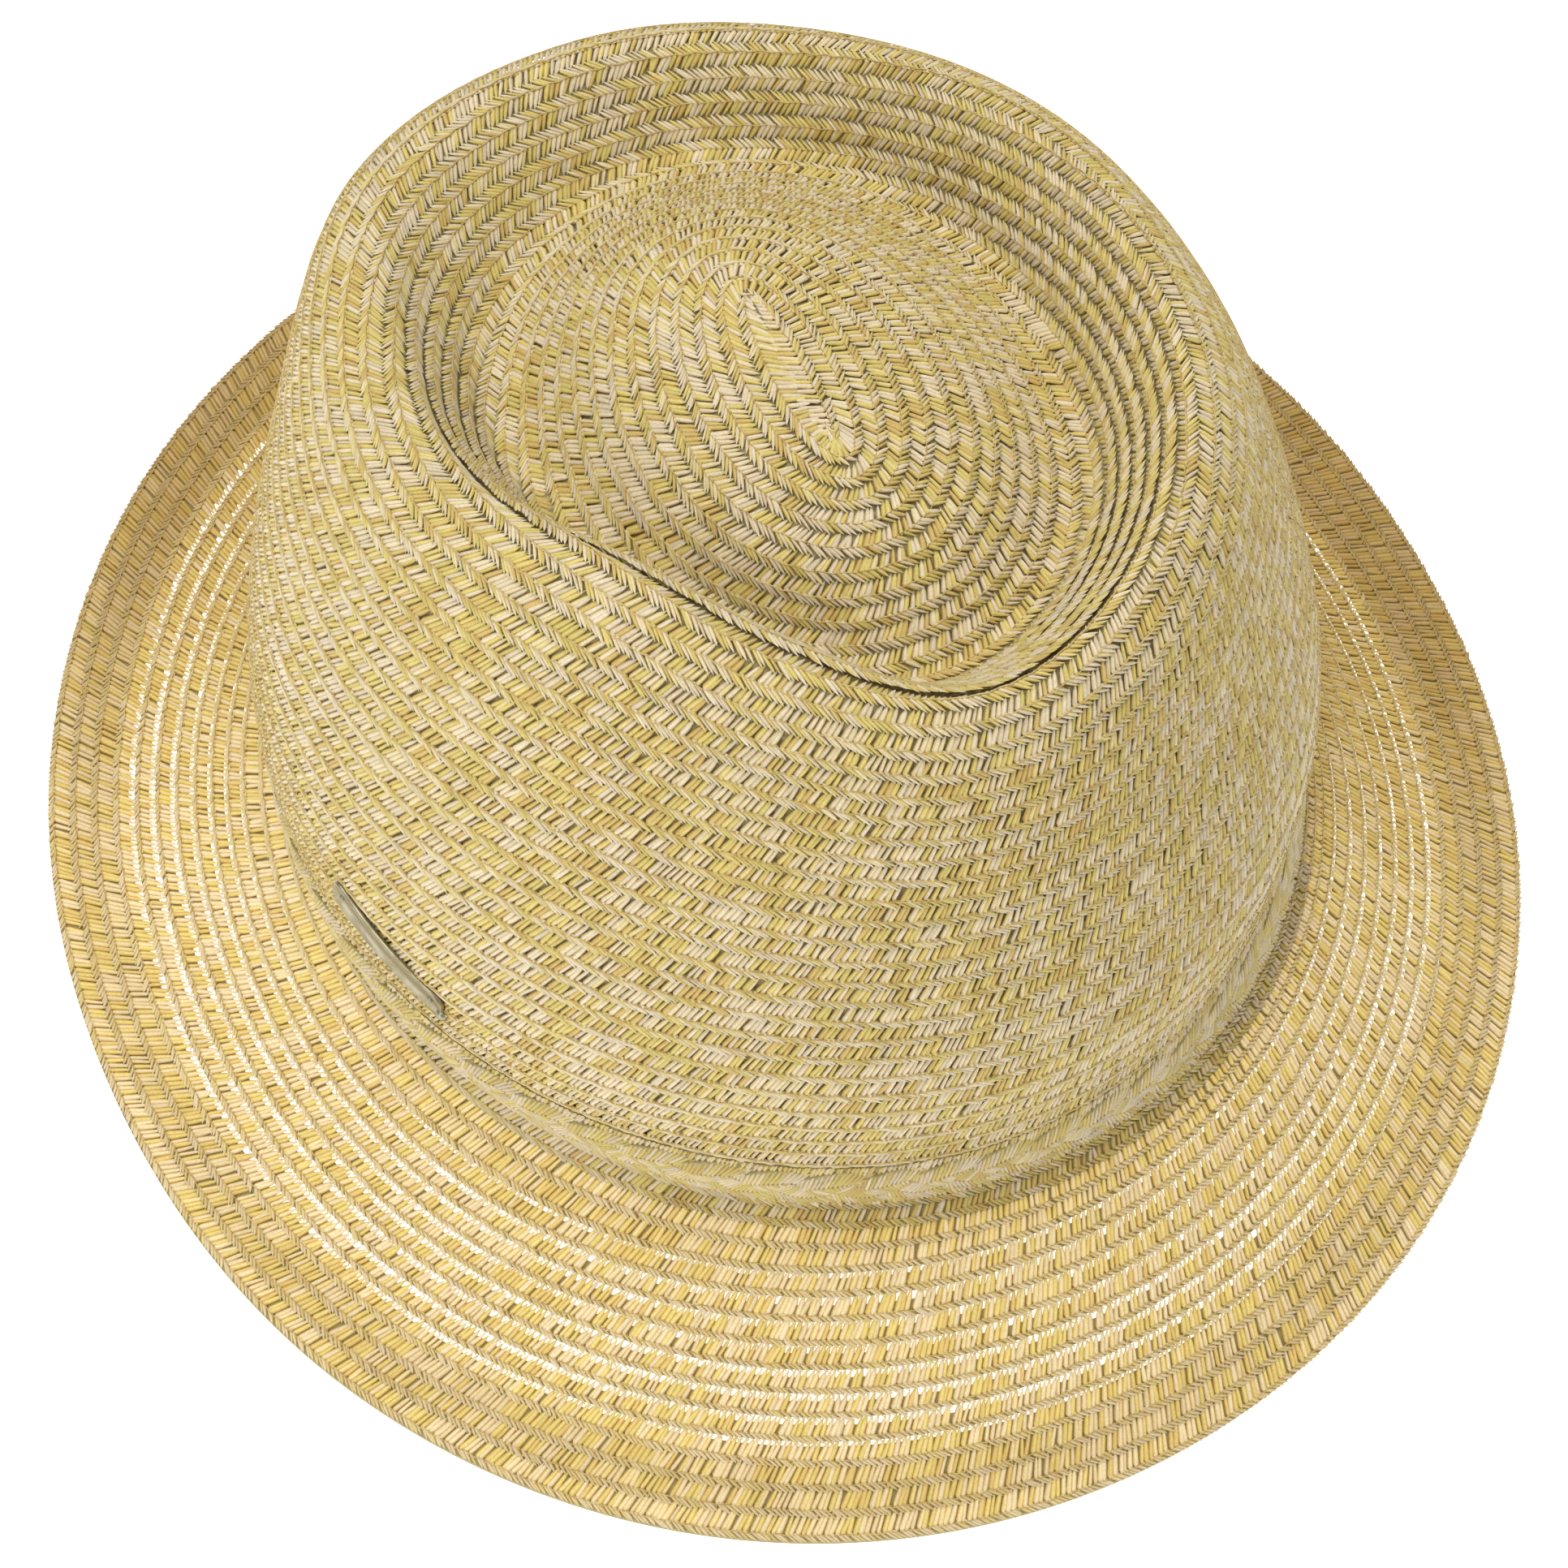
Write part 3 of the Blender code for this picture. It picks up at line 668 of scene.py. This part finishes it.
def braid_strands(straw, turns, rows):
    """The long strands above the spine and the short ones below it, for steps of the braid."""
    count = len(turns)
    edge = edge_row(turns)
    sink = edge_sink(rows, edge)
    rows = np.minimum(rows, edge - SPINE_IN)
    here, _ = straw.find(turns, rows)
    ahead, _ = straw.find(turns + 0.25, rows)
    across, _ = straw.find(turns, np.minimum(rows + 0.1, edge))
    pitch = np.maximum(np.linalg.norm(across - here, axis=1) * 10, LEAST_PITCH)
    degree = np.maximum(np.linalg.norm(ahead - here, axis=1) * 4, LEAST_DEGREE)
    on_brim = brim_share(rows)
    spine = BRIM_SPINE_LOWER * on_brim
    beside = step(np.abs(np.sin(np.radians(turns))), 0.45, 0.85)
    sunny = LEAST_LIGHT + (1 - LEAST_LIGHT) * np.maximum(step(rows, *OPEN_IN_FRONT), beside)
    chance = (0.4 + 0.5 * beside) * RANDOM.random(count)
    light = np.clip(span(rows, *OPEN_ROWS) * sunny * (0.9 + 0.8 * slow_noise(count, 9)) - chance, 0, 1)
    brim_tuck = SHUT_TUCK + (OPEN_TUCK - BESIDE_OPENER * beside - SHUT_TUCK) * light
    middle = 1 - step(rows, 0.9, 1.5)
    tuck = CROWN_TUCK + on_brim * (brim_tuck - CROWN_TUCK) + MIDDLE_TUCK * middle
    shaded_brim = on_brim * step(np.abs(np.sin(np.radians(turns - LEAN_TURN) / 2)), 0.6, 0.9)
    doubled = step(rows, 54.5, 55.5)
    # Painted shade: the rows inside the doubled edge but for the outermost one, the lowest crown rows by the
    # band, and the brim's back behind the crown, most on its doubled rows.
    dusk = 0.2 * step(rows, 55.0, 56.2) * (1 - 0.8 * step(rows, edge - 1.3, edge - 0.9))
    dusk += 0.35 * (1 - on_brim) * step(rows, 38.5, 43.5)
    dusk = np.minimum(dusk + shaded_brim * (0.6 + 0.4 * doubled), 1)
    wobble = RANDOM.normal(0, 1, (6, count))
    # Painted shade also moves the brim's back behind the crown toward the olive and gold end of the tones.
    tints = 0.62 * runs(count, 0.7) + 0.40 * slow_noise(count, 25) + 0.4 * shaded_brim * (1 - doubled)
    parts = []
    for lower in (0, 1):
        if lower:
            top, bottom = spine - LOWER_OVERLAP, SPINE_IN + LOWER_PAST + END_JITTER * wobble[0]
            run = LOWER_SLANT * (bottom - top) * pitch
            lift = (SPINE_DEPTH + 0.1 * MM, EDGE_DEPTH)
            shift = 0.0
            full = LOWER_WIDTH
        else:
            top, bottom = -(1 - SPINE_IN) - tuck + END_JITTER * wobble[0], spine + UPPER_OVERLAP
            shift = (CROWN_SLANT + (BRIM_SLANT - CROWN_SLANT) * on_brim) * (bottom - top) * pitch
            run = -shift
            lift = (TUCK_DEPTH + MIDDLE_RISE * middle, SPINE_DEPTH)
            full = UPPER_WIDTH + BRIM_WIDER * on_brim
        run = np.minimum(np.abs(run), MOST_TURN * degree) * np.sign(run)
        shift = np.minimum(np.abs(shift), MOST_TURN * degree) * np.sign(shift)
        jitter = 0.07 * MM * wobble[1]
        top_turn = turns + (shift + jitter + 0.18 * MM * RANDOM.normal(0, 1, count)) / degree
        end_turn = turns + (shift + run + jitter + 0.13 * MM * wobble[2]) / degree
        starts, _ = straw.find(top_turn, rows + top, lift[0] + sink + 0.04 * MM * wobble[3])
        ends, normals = straw.find(end_turn, rows + bottom, lift[1] + sink + 0.08 * MM * wobble[4])
        if lower:
            starts, ends = ends, starts
        widths = np.clip(1 + 0.14 * wobble[5], 0.7, 1.35) * full
        tones = np.clip(tints + 0.3 * RANDOM.normal(0, 1, count), 0, 1)
        parts.append(strand_points(starts, ends, normals, widths, tones, lower, dusk))
    return parts


THREAD_STEP = 1.8 * MM
THREAD_WIDTH = 0.22 * MM
THREAD_WAVE = 0.12 * MM
THREAD_HEIGHT = 0.2 * MM
THREAD_DEPTH = 0.50 * MM       # above the straw's surface
EVEN_PITCH = 4.0 * MM


def build_thread(name, straw, turns, rows, mat):
    """The fine thread sewn along the braid's spine, in small waves."""
    ratio = THREAD_STEP / STRAND_PITCH
    picks = np.arange(0, len(turns) - 1, ratio)
    turns = np.interp(picks, np.arange(len(turns)), turns)
    rows = np.interp(picks, np.arange(len(rows)), rows)
    count = len(turns)
    edge = edge_row(turns)
    sink = edge_sink(rows, edge)
    rows = np.minimum(rows, edge - SPINE_IN) + BRIM_SPINE_LOWER * brim_share(rows)
    wave = THREAD_WAVE * np.where(np.arange(count) % 2, 1, -1) + 0.03 * MM * RANDOM.normal(0, 1, count)
    low, high, side = -THREAD_HEIGHT / 2, THREAD_HEIGHT / 2, THREAD_WIDTH / 2
    sections = [straw.find(turns, rows + (wave + across) / EVEN_PITCH, THREAD_DEPTH + sink + depth)[0]
                for across, depth in ((-side, low), (0, high), (side, low))]
    return strip(name, sections, mat)


def closed_mesh(name, verts, faces, mat, labels=None, folded=(), merge=True):
    """A smooth object: pairs of points named in folded meet halfway, and points that coincide are joined."""
    mesh = bpy.data.meshes.new(name)
    mesh.from_pydata(verts.tolist(), [], faces)
    if labels is not None:
        mesh.attributes.new("row", "FLOAT", "POINT").data.foreach_set("value", labels.astype(np.float32))
    bm = bmesh.new()
    bm.from_mesh(mesh)
    points = bm.verts[:]
    for a, b in ((points[i], points[j]) for i, j in folded):
        bmesh.ops.pointmerge(bm, verts=[a, b], merge_co=(a.co + b.co) / 2)
    if merge:
        bmesh.ops.remove_doubles(bm, verts=bm.verts, dist=SAME_PLACE)
    bmesh.ops.recalc_face_normals(bm, faces=bm.faces)
    bm.to_mesh(mesh)
    bm.free()
    mesh.shade_smooth()
    return new_object(name, mesh, mat)


def ring_faces(rings, count, skipped=()):
    """Faces between each ring of points and the next. The last ring joins the first."""
    faces = []
    for i in range(rings):
        if i not in skipped:
            low, high = i * count, (i + 1) % rings * count
            faces += [(low + j, low + (j + 1) % count, high + (j + 1) % count, high + j)
                      for j in range(count)]
    return faces


def strip(name, sections, mat):
    """A long closed strip: its sections are lines that run side by side all along it."""
    count, lines = len(sections[0]), len(sections)
    faces = []
    for k in range(lines):
        low, high = k * count, (k + 1) % lines * count
        faces += [(low + j, low + j + 1, high + j + 1, high + j) for j in range(count - 1)]
    faces += [tuple(k * count + end for k in range(lines)) for end in (0, count - 1)]
    return closed_mesh(name, np.concatenate(sections), faces, mat, merge=False)


def thread_finish(name):
    """Fine golden sewing thread."""
    mat, tree = new_material(name)
    spot = add(tree, "ShaderNodeTexCoord")[3]
    patch = add(tree, "ShaderNodeTexNoise", None, {"Vector": spot, "Scale": 500.0, "Detail": 2.0})[0]
    tone = mix(tree, "MIX", patch.fit(0.35, 0.65), (0.56, 0.39, 0.12), (0.70, 0.54, 0.22))
    close_material(tree, {"Base Color": tone, "Roughness": 0.55})
    return mat


def shell(name, sections, mat, rows):
    """A closed mesh through rings of equal length: the last ring joins the first."""
    count = len(sections[0])
    faces = ring_faces(len(sections), count)
    return closed_mesh(name, np.concatenate(sections), faces, mat, np.repeat(rows, count))


WALL_TOP = -0.85 * MM          # the wall behind the strands, from the surface
BACKING_STEPS = 150            # to a row
BACKING_LAP = 0.10             # of the pitch, under the row above
BACKING_SLIT = 0.40            # less of it in the open rows
BACKING_IN = 0.06              # inside the row's own lower edge
# Pairs of a share of the way across and a depth in mm.
BACKING_SECTION = ((0, -0.72), (0.5, -0.5), (1, -0.42), (1, -0.56), (0.5, -0.64), (0, -0.86))


def build_crown_wall(straw, mat):
    """The wall behind the strands, closed at the top and open below."""
    turns = np.arange(0, 360, 4.0)
    rows = np.arange(0.0, CROWN_BRAID_ROWS + 1)
    tops = [straw.find(turns, np.full(len(turns), r), WALL_TOP)[0] for r in rows]
    unders = [straw.find(turns, np.full(len(turns), r), -WALL)[0] for r in rows]
    for first in (tops[0], unders[0]):
        first[:, (0, 2)] = first.mean(axis=0)[[0, 2]]
    return open_shell("crown_wall", tops, unders, mat, rows)


def open_shell(name, tops, unders, mat, rows):
    """A wall between two sets of rings that meet in a fold at the middle and a rim at the end."""
    count, half = len(tops[0]), len(tops)
    labels = np.repeat(np.concatenate([rows[::-1], rows]), count)
    folded = [(k * count + j, (k + 1) * count - j) for k in (half - 1, half) for j in range(1, count // 2)]
    faces = ring_faces(2 * half, count, skipped=(half - 1,))
    return closed_mesh(name, np.concatenate(unders[::-1] + tops), faces, mat, labels, folded)


def build_brim_backing(straw, mat):
    """The underside of the brim's braid: one long strip that leaves a slit open below each row's edge."""
    first, last = CROWN_BRAID_ROWS - 0.8, CROWN_BRAID_ROWS + BRIM_BRAID_ROWS + 1 - SPINE_IN
    rows = np.linspace(first, last, int((last - first) * BACKING_STEPS))
    turns = JOIN_TURN + 360 * (rows + SPINE_IN - BRIM_BRAID_ROWS - CROWN_BRAID_ROWS)
    rows = np.minimum(rows, edge_row(turns) - SPINE_IN)
    top = -(1 - SPINE_IN) - BACKING_LAP + BACKING_SLIT * span(rows, *OPEN_ROWS)
    bottom = SPINE_IN - BACKING_IN
    sections = [straw.find(turns, rows + top + (bottom - top) * share, depth * MM)[0]
                for share, depth in BACKING_SECTION]
    return strip("brim_backing", sections, mat)


HEM_BRAID_ROWS = 3             # in the doubled edge
HEM_LAP = 0.35 * MM            # how far each of them stands out at its lap
HEM_TOP_STEPS = 6
HEM_LOW_STEPS = 9
LOWEST = 0.05 * MM             # above the floor, but for the foot


def build_hem(straw, mat):
    """The doubled rows under the edge, each lapping the next, down to the foot on the floor."""
    turns = np.arange(0, 360, 1.0)
    edge = edge_row(turns)
    inner = edge - (edge - CROWN_BRAID_ROWS) * HEM_SHARE
    shares = np.linspace(0, 1, HEM_TOP_STEPS + 1)
    tops = [straw.find(turns, inner + (edge - inner) * share, -WALL)[0] for share in shares]
    foot_outer = tops[-1] * np.array([1, 1, 0])
    low_inner = straw.find(turns, inner, -(WALL + GAP + HEM_WALL))[0]
    inward = (low_inner - tops[-1]) * np.array([1, 1, 0])
    inward /= np.linalg.norm(inward, axis=1, keepdims=True)
    foot_inner = foot_outer + inward * FOOT_WIDTH
    low_shares = np.linspace(0, 1, HEM_LOW_STEPS + 1)[1:-1]
    lows = []
    for share in low_shares:
        spot = foot_inner + (low_inner - foot_inner) * share
        lap = HEM_LAP * (share * HEM_BRAID_ROWS % 1.0 - 0.5)
        spot[:, 2] = np.maximum(spot[:, 2] + lap, LOWEST)
        lows.append(spot)
    low_inner[:, 2] = np.maximum(low_inner[:, 2], LOWEST)
    labels = HEM_BRAID_ROWS * np.concatenate([shares, [1, 1], 1 - low_shares, [0]])
    return shell("brim_hem_rows", tops + [foot_outer, foot_inner] + lows + [low_inner], mat, labels)


PLAIT_WAVES = 19               # of each tape, once round the crown
TAPE_WIDTH = 6.6 * MM
TAPE_RISE = 0.8 * MM           # of a tape's middle above the wall
PLAIT_LIFT = 0.40 * MM         # how far a tape rises and sinks as it crosses
PLAIT_PITCH = 0.75 * MM        # between a tape's strands
PLAIT_RUN = 2.4 * MM           # how far a strand of a tape runs along it
CORE_PITCH = 0.8 * MM
CORE_RUN = 2.2 * MM
BAND_MIDDLE = BAND_RISE + BAND_HEIGHT / 2
# Painted shade on the band's strands.
BAND_PAINTED_SHADE = 0.3
# Pairs of a share of the band's height, or of a tape's half width, and a height above the wall in mm.
CORE_PROFILE = ((-0.6, -0.9), (-0.5, -0.05), (-0.3, 0.35), (0.3, 0.35), (0.5, -0.05), (0.6, -0.9), (0, -1.0))
TAPE_PROFILE = ((-1, -0.2), (-0.6, 0.1), (0, 0.2), (0.6, 0.1), (1, -0.2), (1, -0.9), (0, -1.1), (-1, -0.9))


def in_band(straw, turns, above, depth):
    """Points of the band, and normals: above is the height over the head line, along the straw."""
    return straw.find(turns, CROWN_BRAID_ROWS - above / straw.wall_row, GAP + depth)


def plait_path(straw, k, steps, offset=0.0, lift=0.0):
    """One of three crossing tapes: points at steps of a turn, offset across the tape, and normals."""
    phase = np.radians(steps) * PLAIT_WAVES + 2 * np.pi * k / 3
    swing = (BAND_HEIGHT - TAPE_WIDTH) / 2
    slant = np.arctan(swing * np.cos(phase) * PLAIT_WAVES * np.pi / 180 / DEGREE)
    above = BAND_MIDDLE + swing * np.sin(phase) + offset * np.cos(slant)
    turns = steps - offset * np.sin(slant) / DEGREE
    edge = np.clip(np.abs(above - BAND_MIDDLE) / (BAND_HEIGHT / 2), 0, 1.05)
    depth = (TAPE_RISE + PLAIT_LIFT * np.sin(2 * phase) + lift) * (1 - 0.6 * edge**4)
    return in_band(straw, turns, above, depth)


def build_core(straw, mat):
    """The flat ring that backs the plait's tapes."""
    turns = np.arange(0, 360, 1.0)
    rings = [in_band(straw, turns, BAND_MIDDLE + BAND_HEIGHT * share, depth * MM)[0]
             for share, depth in CORE_PROFILE]
    return shell("plait_core", rings, mat, np.arange(len(rings)) / len(rings))


def build_tapes(straw, mat):
    """The plait's three flat tapes, under their strands."""
    steps = np.arange(0, 360, 1.0)
    tapes = []
    for k in range(3):
        rings = [plait_path(straw, k, steps, TAPE_WIDTH / 2 * 0.9 * share, depth * MM)[0]
                 for share, depth in TAPE_PROFILE]
        tapes.append(shell(f"plait_tape_{k + 1}", rings, mat, np.arange(len(rings)) / len(rings)))
    return tapes


def strand_widths(wobble):
    """Widths of strands about 1, from spread numbers."""
    return np.clip(1 + 0.14 * wobble, 0.7, 1.3)


def core_strands(straw):
    """Slanted strands on both halves of the flat ring."""
    turns = np.arange(0, 360, CORE_PITCH / DEGREE)
    count = len(turns)
    parts = []
    for half in (-1, 1):
        ends = []
        for out, depth, run in ((0.02, 0.6 * MM, 0), (0.58, 0.05 * MM, CORE_RUN)):
            above = BAND_MIDDLE + BAND_HEIGHT * half * (out + 0.02 * RANDOM.normal(0, 1, count))
            at = turns + (run + 0.2 * MM * RANDOM.normal(0, 1, count)) / DEGREE
            ends.append(in_band(straw, at, above, depth))
        (near, _), (far, normals) = ends
        widths = strand_widths(RANDOM.normal(0, 1, count))
        parts.append(strand_points(near, far, normals, widths, runs(count, 0.7), 0, BAND_PAINTED_SHADE))
    return parts


def plait_strands(straw):
    """Strands on both halves of each tape, meeting in its middle."""
    parts = core_strands(straw)
    for k in range(3):
        fine = np.linspace(0, 360, 6000)
        line, _ = plait_path(straw, k, fine)
        gone = np.concatenate([[0], np.cumsum(np.linalg.norm(np.diff(line, axis=0), axis=1))])
        steps = np.interp(np.arange(0, gone[-1], PLAIT_PITCH), gone, fine)
        ahead = steps + PLAIT_RUN / (gone[-1] / 360)
        count = len(steps)
        for half in (-1, 1):
            wobble = RANDOM.normal(0, 1, (3, count))
            rise = 0.42 * MM + 0.04 * MM * wobble[0]
            near, _ = plait_path(straw, k, steps, half * -0.1 * MM, rise)
            across = half * (TAPE_WIDTH / 2 + 0.1 * MM * wobble[1])
            far, normals = plait_path(straw, k, ahead, across, 0.05 * MM)
            widths = strand_widths(wobble[2]) * 0.95
            parts.append(strand_points(far, near, normals, widths, runs(count, 0.7), 0, BAND_PAINTED_SHADE))
    return parts


PLATE_RIM = 0.55 * MM          # width of the raised rim round the plate
PLATE_CORNER = 2.2 * MM
PLATE_BEVEL = 0.15 * MM
PLATE_HOLLOW = 0.22 * MM       # how deep the plate lies inside its rim
STUD_RADIUS = 0.55 * MM
STUD_HEIGHT = 0.45 * MM
STUD_IN = 2.6 * MM             # from the plate's end
STUD_UP = 0.3 * MM             # from its middle line
STUD_SUNK = 0.25 * MM
KNOB_RADIUS = 1.1 * MM         # the rounder knob at the plate's front end
KNOB_HEIGHT = 0.9 * MM
KNOB_IN = 0.2 * MM
KNOB_DOWN = 1.6 * MM


def build_plate(straw, mat):
    """A thin bare plate bent to the wall: round corners, a raised rim, a stud near each end and a knob."""
    half_length, half_height = PLATE_LENGTH / 2, PLATE_HEIGHT / 2
    bm = bmesh.new()

    def spot(along, up, depth):
        """Points on the wall, from the plate's middle."""
        share = along / half_length
        turns = PLATE_TURN + np.degrees(along / HEAD_HALF_LENGTH)
        return straw.above_head(turns, PLATE_RISE - PLATE_SLOPE * share + up, GAP + depth)

    def ring(inset, depth):
        """The plate's outline, drawn in by inset, at a depth."""
        corner = max(PLATE_CORNER - inset, 0.3 * MM)
        along, up = half_length - inset - corner, half_height - inset - corner
        quarter = np.radians(np.linspace(0, 90, 7))
        straight = np.linspace(1, -1, 12)[1:-1]
        top_a = np.concatenate([along + corner * np.cos(quarter), along * straight,
                                -along - corner * np.sin(quarter)])
        top_u = np.concatenate([up + corner * np.sin(quarter), np.full(10, up + corner),
                                up + corner * np.cos(quarter)])
        a, u = np.concatenate([top_a, top_a[::-1]]), np.concatenate([top_u, -top_u[::-1]])
        return [bm.verts.new(p) for p in spot(a, u, np.full(len(a), depth))]

    top = PLATE_DEPTH
    rings = [ring(inset, depth) for inset, depth in (
        (0.1 * MM, 0.0), (0.0, PLATE_BEVEL), (0.0, top - PLATE_BEVEL), (PLATE_BEVEL, top), (PLATE_RIM, top),
        (PLATE_RIM + 0.2 * MM, top - PLATE_HOLLOW))]
    count = len(rings[0])
    for low, high in zip(rings, rings[1:]):
        for j in range(count):
            bm.faces.new((low[j], low[(j + 1) % count], high[(j + 1) % count], high[j]))
    for flat in (rings[0], rings[-1]):
        for j in range(count // 2 - 1):
            bm.faces.new((flat[j], flat[j + 1], flat[count - 2 - j], flat[count - 1 - j]))
    for along, up, radius, height in (
        (-half_length + STUD_IN, STUD_UP, STUD_RADIUS, STUD_HEIGHT),
        (half_length - STUD_IN, STUD_UP, STUD_RADIUS, STUD_HEIGHT),
        (half_length - KNOB_IN, -KNOB_DOWN, KNOB_RADIUS, KNOB_HEIGHT),
    ):
        domes = []
        for k in range(5):
            size, lift = math.cos(k * math.pi / 10), math.sin(k * math.pi / 10)
            angles = np.radians(np.arange(0, 360, 30))
            at = spot(along + radius * size * np.cos(angles), up + radius * size * np.sin(angles),
                      np.full(12, top - STUD_SUNK + height * lift))
            domes.append([bm.verts.new(p) for p in at])
        for low, high in zip(domes, domes[1:]):
            for j in range(12):
                bm.faces.new((low[j], low[(j + 1) % 12], high[(j + 1) % 12], high[j]))
        bm.faces.new(domes[-1])
        bm.faces.new(domes[0])
    bmesh.ops.remove_doubles(bm, verts=bm.verts, dist=0.000005)
    bmesh.ops.recalc_face_normals(bm, faces=bm.faces)
    mesh = bpy.data.meshes.new("bare_plate")
    bm.to_mesh(mesh)
    bm.free()
    mesh.shade_smooth()
    mesh.set_sharp_from_angle(angle=math.radians(50))
    return new_object("bare_plate", mesh, mat)


# The scene around it


def build_floor():
    """A pale floor that glows a little, so that the ground is white."""
    mat, tree = new_material("pale_floor")
    close_material(tree, {
        "Base Color": (0.9, 0.9, 0.9, 1), "Roughness": 0.9,
        "Emission Color": (1, 1, 1, 1), "Emission Strength": 0.9,
    })
    bm = bmesh.new()
    bmesh.ops.create_grid(bm, x_segments=1, y_segments=1, size=3.0)
    mesh = bpy.data.meshes.new("floor")
    bm.to_mesh(mesh)
    bm.free()
    floor = new_object("floor", mesh, mat)


def build_lights():
    """Soft daylight: a key and a low lamp from the front left, a weak fill and a lamp from behind."""
    world = bpy.data.worlds.new("studio")
    bpy.context.scene.world = world
    world.use_nodes = True
    background = world.node_tree.nodes["Background"]
    background.inputs["Color"].default_value = (1, 1, 1, 1)
    background.inputs["Strength"].default_value = 0.36
    for name, spot, size, power in (
        ("key", (-0.4, -0.3, 1.5), 0.8, 7.5),
        ("side", (-1.1, -0.6, 0.45), 0.6, 3.7),
        ("fill", (0.9, -0.4, 1.0), 1.2, 0.8),
        ("top", (0.1, 0.5, 1.6), 1.2, 10.0),
    ):
        lamp = bpy.data.lights.new(name, "AREA")
        lamp.shape, lamp.size, lamp.energy = "DISK", size, power
        obj = bpy.data.objects.new(name, lamp)
        bpy.context.scene.collection.objects.link(obj)
        obj.location = spot
        obj.rotation_euler = (Vector((0, 0, 0.06)) - Vector(spot)).to_track_quat("-Z", "Y").to_euler()


CAMERA_TURN = math.radians(-26.358)
CAMERA_RISE = math.radians(61.990)
CAMERA_ROLL = math.radians(1.368)
CAMERA_DISTANCE = 640.76 * MM
IMAGE_SIDE = 1932
IMAGE_SCALE = 7.19991          # pixels to a millimetre at the aim
AIM_RIGHT = -0.449 * MM
AIM_UP = -18.547 * MM
AIM_HEIGHT = 20.0 * MM         # above the head line


def build_camera():
    """A camera high in front of the hat, a little to its right, turned as the photo was taken."""
    back = Vector((math.sin(CAMERA_TURN) * math.cos(CAMERA_RISE),
                   -math.cos(CAMERA_TURN) * math.cos(CAMERA_RISE), math.sin(CAMERA_RISE)))
    right = Vector((math.cos(CAMERA_TURN), math.sin(CAMERA_TURN), 0))
    up = back.cross(right)
    rolled = math.cos(CAMERA_ROLL) * right + math.sin(CAMERA_ROLL) * up
    upright = -math.sin(CAMERA_ROLL) * right + math.cos(CAMERA_ROLL) * up
    aim = Vector((0, -MIDDLE_Y, HEAD_LIFT + AIM_HEIGHT)) + AIM_RIGHT * rolled + AIM_UP * upright
    data = bpy.data.cameras.new("camera")
    data.sensor_width = 36.0
    data.lens = 36.0 * IMAGE_SCALE * CAMERA_DISTANCE / MM / IMAGE_SIDE
    data.clip_start, data.clip_end = 0.01, 20
    camera = bpy.data.objects.new("camera", data)
    bpy.context.scene.collection.objects.link(camera)
    turn = Matrix((rolled, upright, back)).transposed().to_4x4()
    turn.translation = aim + CAMERA_DISTANCE * back
    camera.matrix_world = turn
    bpy.context.scene.camera = camera


def main():
    """Builds every piece, then the floor, lamps and camera."""
    straw = Straw()
    tree = strand_tree()
    # The brim's copy of the straw finish is warmer and glows, as painted light through its straw, and paints
    # more shade on its short strands.
    crown_straw = straw_finish("crown_strands", 0.0, 0.05, 0.0)
    brim_straw = straw_finish("brim_strands", 0.34, 0.45, 0.23)
    plait_straw = straw_finish("plait_strands", 0.0, 0.1, 0.0)
    # Painted shade: the layers under the strands are darker straw, for the shade seen through the gaps.
    wall = wall_finish("crown_wall_straw", (0.50, 0.40, 0.18), GAP_SHADE_BROWN)
    hem = wall_finish("hem_straw", (0.46, 0.37, 0.15), (0.36, 0.28, 0.10))
    plait_wall = wall_finish("plait_backing", (0.44, 0.36, 0.16), (0.34, 0.27, 0.10))
    metal = metal_finish("aged_metal")

    turns, rows = braid_path(straw)
    for name, low, high, mat, node in (
        ("crown_tip_rows", 0, 21, crown_straw, "crown"),
        ("crown_upper_rows", 21, 31, crown_straw, "crown"),
        ("crown_middle_rows", 31, 38.5, crown_straw, "crown"),
        ("crown_lower_rows", 38.5, 45.3, crown_straw, "crown"),
        ("brim_inner_rows", 45.3, 52.2, brim_straw, "brim"),
        ("brim_outer_rows", 52.2, 99, brim_straw, "brim"),
    ):
        mine = (rows >= low) & (rows < high)
        parts = braid_strands(straw, turns[mine], rows[mine])
        piece(lay_strands(name, tree, parts, mat), node + "_straw", node)
    piece(build_crown_wall(straw, wall), "crown_straw", "crown")
    piece(build_brim_backing(straw, hem), "brim_straw", "brim")
    golden = thread_finish("golden_thread")
    on_crown = rows < CROWN_BRAID_ROWS + 0.3
    for node, mine in (("crown", on_crown), ("brim", ~on_crown)):
        piece(build_thread(node + "_thread", straw, turns[mine], rows[mine], golden), node + "_straw", node)
    piece(build_hem(straw, hem), "hem_straw", "brim_hem")
    for backing in (build_core(straw, plait_wall), *build_tapes(straw, plait_wall)):
        piece(backing, "plait_straw", "plait_band")
    laid = lay_strands("plait_strands", tree, plait_strands(straw), plait_straw)
    piece(laid, "plait_straw", "plait_band")
    piece(build_plate(straw, metal), "plate_metal", "side_plate")

    build_floor()
    build_lights()
    build_camera()
    bpy.context.scene.view_settings.view_transform = "Standard"


main()
